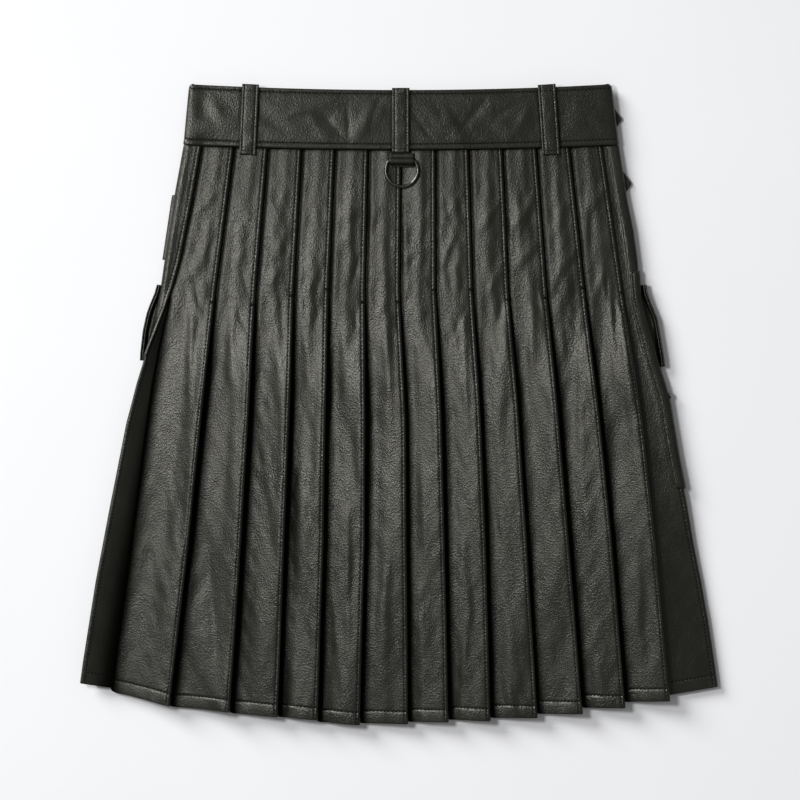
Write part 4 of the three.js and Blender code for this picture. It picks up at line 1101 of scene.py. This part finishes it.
class Finish:  # one material and the maker of its nodes
    def __init__(self, name, **plain):
        self.material = bpy.data.materials.new(name)
        self.material.use_nodes = True
        self.tree = self.material.node_tree
        self.shader = self.tree.nodes["Principled BSDF"]
        for socket, value in plain.items():
            self.fill(self.shader.inputs[socket.replace("_", " ")], value)

    def fill(self, socket, value):
        if isinstance(value, Sock):
            self.tree.links.new(value.socket, socket)
        else:
            socket.default_value = (*value, 1) if socket.type == "RGBA" else value

    def to(self, name, value):
        self.fill(self.shader.inputs[name], value)

    def node(self, kind, settings=None, inputs=None, output=0):
        node = self.tree.nodes.new(kind)
        for key, value in (settings or {}).items():
            setattr(node, key, value)
        for key, value in enumerate(inputs) if isinstance(inputs, list) else (inputs or {}).items():
            self.fill(node.inputs[key], value)
        return Sock(self, node.outputs[output])

    def place(self, stretch):
        spot = self.node("ShaderNodeTexCoord", output="Object")
        return self.node("ShaderNodeVectorMath", {"operation": "MULTIPLY"}, [spot, stretch])

    def noise(self, scale, detail, rough=0.5, stretch=(1, 1, 1)):
        return self.node("ShaderNodeTexNoise", None, {"Vector": self.place(stretch), "Scale": scale, "Detail": detail,
                                                      "Roughness": rough})

    def cells(self, scale):
        return self.node("ShaderNodeTexVoronoi", {"feature": "F1"}, {"Vector": self.place((1, 1, 1)), "Scale": scale},
                         "Distance")

    def mix(self, factor, a, b):  # two colours; the Mix node's colour sockets are its sixth and seventh
        return self.node("ShaderNodeMix", {"data_type": "RGBA"}, {0: factor, 6: a, 7: b}, 2)

    def bump(self, height, depth, strength, under=None):
        inputs = {"Height": height, "Distance": depth, "Strength": strength}
        return self.node("ShaderNodeBump", None, {**inputs, "Normal": under} if under else inputs)

    def paintShade(self, paintedLight, colour):  # painted shade: a near-black shader is mixed in where the painted light value is low, deep under a fold
        paintedShade = self.node("ShaderNodeBsdfPrincipled", None, {"Base Color": colour, "Specular IOR Level": 0.02,
                                                           "Roughness": 0.9})
        blend = self.node("ShaderNodeMixShader", None, [paintedLight, paintedShade, Sock(self, self.shader.outputs[0])])
        self.fill(self.tree.nodes["Material Output"].inputs["Surface"], blend)


# the dark and light colours vary at random; the third colour is the near-black of the painted shade under the folds
leatherLook = {
    "dark": (0.0030, 0.0032, 0.0021), "light": (0.0092, 0.0097, 0.0070), "paintedShade": (0.0012, 0.0013, 0.0008),
    "tint": (1.0, 0.985, 0.90), "specular": 0.5, "roughness": (0.25, 0.41),
    "grain": 1150, "pebble": 640, "grainDepth": 0.00023, "wrinkleDepth": 0.00038,
}
strapLook = {**leatherLook, "grain": 900, "roughness": (0.36, 0.5)}
threadLook = {"dark": (0.001, 0.001, 0.001), "light": (0.004, 0.004, 0.0035), "twist": 2600, "depth": 0.0001}
metalLook = {"dark": (0.06, 0.06, 0.057), "light": (0.13, 0.13, 0.125), "roughness": (0.2, 0.36), "depth": 0.00003}


def leatherFinish(name, look):
    f = Finish(name, Specular_IOR_Level=look["specular"], Specular_Tint=look["tint"])
    patchy = f.noise(24, 4, 0.55)
    rubbed = f.noise(75, 4, 0.65, (1.0, 0.5, 1.0))
    fine = f.noise(1300, 2, 0.6)
    grain, pebble = f.cells(look["grain"]), f.cells(look["pebble"])
    wrinkle = f.noise(110, 2, 0.5, (1.0, 0.6, 1.0))
    worn = (patchy * 0.45 + rubbed * 0.3 + fine * 0.25).ramp(0.33, 0.67)
    f.to("Base Color", f.mix(worn, look["dark"], look["light"]))
    smooth, rough = look["roughness"]
    f.to("Roughness", (patchy * 0.4 + rubbed * 0.35 + fine * 0.25).ramp(0.3, 0.7) * (rough - smooth) + smooth)
    soft = f.bump(wrinkle, look["wrinkleDepth"], 0.6)
    f.to("Normal", f.bump(pebble * 0.9 + grain * 0.45 + fine * 0.2, look["grainDepth"], 0.8, soft))
    # painted shade: the painted light attribute mixes in that near-black colour under the folds
    f.paintShade(f.node("ShaderNodeAttribute", {"attribute_name": "painted_light"}, output="Fac"), look["paintedShade"])
    return f.material


def threadFinish(look):
    f = Finish("blackThread", Roughness=0.75, Specular_IOR_Level=0.08)
    twist = f.noise(look["twist"], 2, 0.5, (1, 3, 1))
    f.to("Base Color", f.mix(twist.ramp(0.3, 0.7), look["dark"], look["light"]))
    f.to("Normal", f.bump(twist, look["depth"], 0.6))
    return f.material


def metalFinish(look):
    f = Finish("gunmetal", Metallic=1.0)
    cloud = f.noise(240, 3)
    smooth, rough = look["roughness"]
    f.to("Base Color", f.mix(cloud.ramp(0.35, 0.65), look["dark"], look["light"]))
    f.to("Roughness", cloud * (rough - smooth) + smooth)
    f.to("Normal", f.bump(f.noise(1800, 2), look["depth"], 0.4))
    return f.material


print("finishes")
finishes = {"leather": leatherFinish("kiltLeather", leatherLook), "thread": threadFinish(threadLook),
            "strap_leather": leatherFinish("strapLeather", strapLook), "gunmetal": metalFinish(metalLook)}
for slot, finish in finishes.items():
    for obj in pieces[slot]:
        obj.data.materials.append(finish)


# Floor, light and camera

studio = {
    "floor": 6.0, "paperDark": (0.895, 0.90, 0.915), "paperLight": (0.905, 0.91, 0.925), "sky": 0.215,
    "sun": 3.15, "sunHigh": 25, "sunFrom": 140, "sunSoft": 26,  # the last three in degrees
    "boxPower": 25.5, "boxSize": 0.5, "boxPlace": (-1.12, 0.46, 2.1),
    # the camera sees a width of span at the height planeZ
    "span": 0.772, "away": 3.2, "centre": (0.00051, 0.00437), "planeZ": 0.010, "sensor": 36,
}


def buildFloor():
    size = studio["floor"]
    mesh = bpy.data.meshes.new("ground")
    mesh.from_pydata([(-size, -size, 0), (size, -size, 0), (size, size, 0), (-size, size, 0)], [], [(0, 1, 2, 3)])
    paper = Finish("palePaper", Roughness=0.9)
    paper.to("Base Color", paper.mix(paper.noise(6, 2).ramp(0.3, 0.7), studio["paperDark"], studio["paperLight"]))
    mesh.materials.append(paper.material)
    addToScene("ground", mesh)


def buildLights():
    world = bpy.data.worlds.new("studioWorld")
    world.use_nodes = True
    sky = world.node_tree.nodes["Background"].inputs
    sky["Color"].default_value, sky["Strength"].default_value = (1, 1, 1, 1), studio["sky"]
    bpy.context.scene.world = world
    sun = bpy.data.lights.new("softSun", "SUN")
    sun.energy, sun.angle = studio["sun"], math.radians(studio["sunSoft"])
    high, around = math.radians(studio["sunHigh"]), math.radians(studio["sunFrom"])
    source = (math.cos(around) * math.cos(high), math.sin(around) * math.cos(high), math.sin(high))
    addToScene("softSun", sun, facing=source)
    box = bpy.data.lights.new("softBox", "AREA")
    box.energy, box.size = studio["boxPower"], studio["boxSize"]
    addToScene("softBox", box, studio["boxPlace"], studio["boxPlace"])


def buildCamera():
    scene = bpy.context.scene
    camera = bpy.data.cameras.new("camera")
    camera.sensor_width = studio["sensor"]
    camera.lens = studio["sensor"] * (studio["away"] - studio["planeZ"]) / studio["span"]
    scene.camera = addToScene("camera", camera, (*studio["centre"], studio["away"]))
    scene.view_settings.view_transform = "Standard"


print("studio")
buildFloor()
buildLights()
buildCamera()
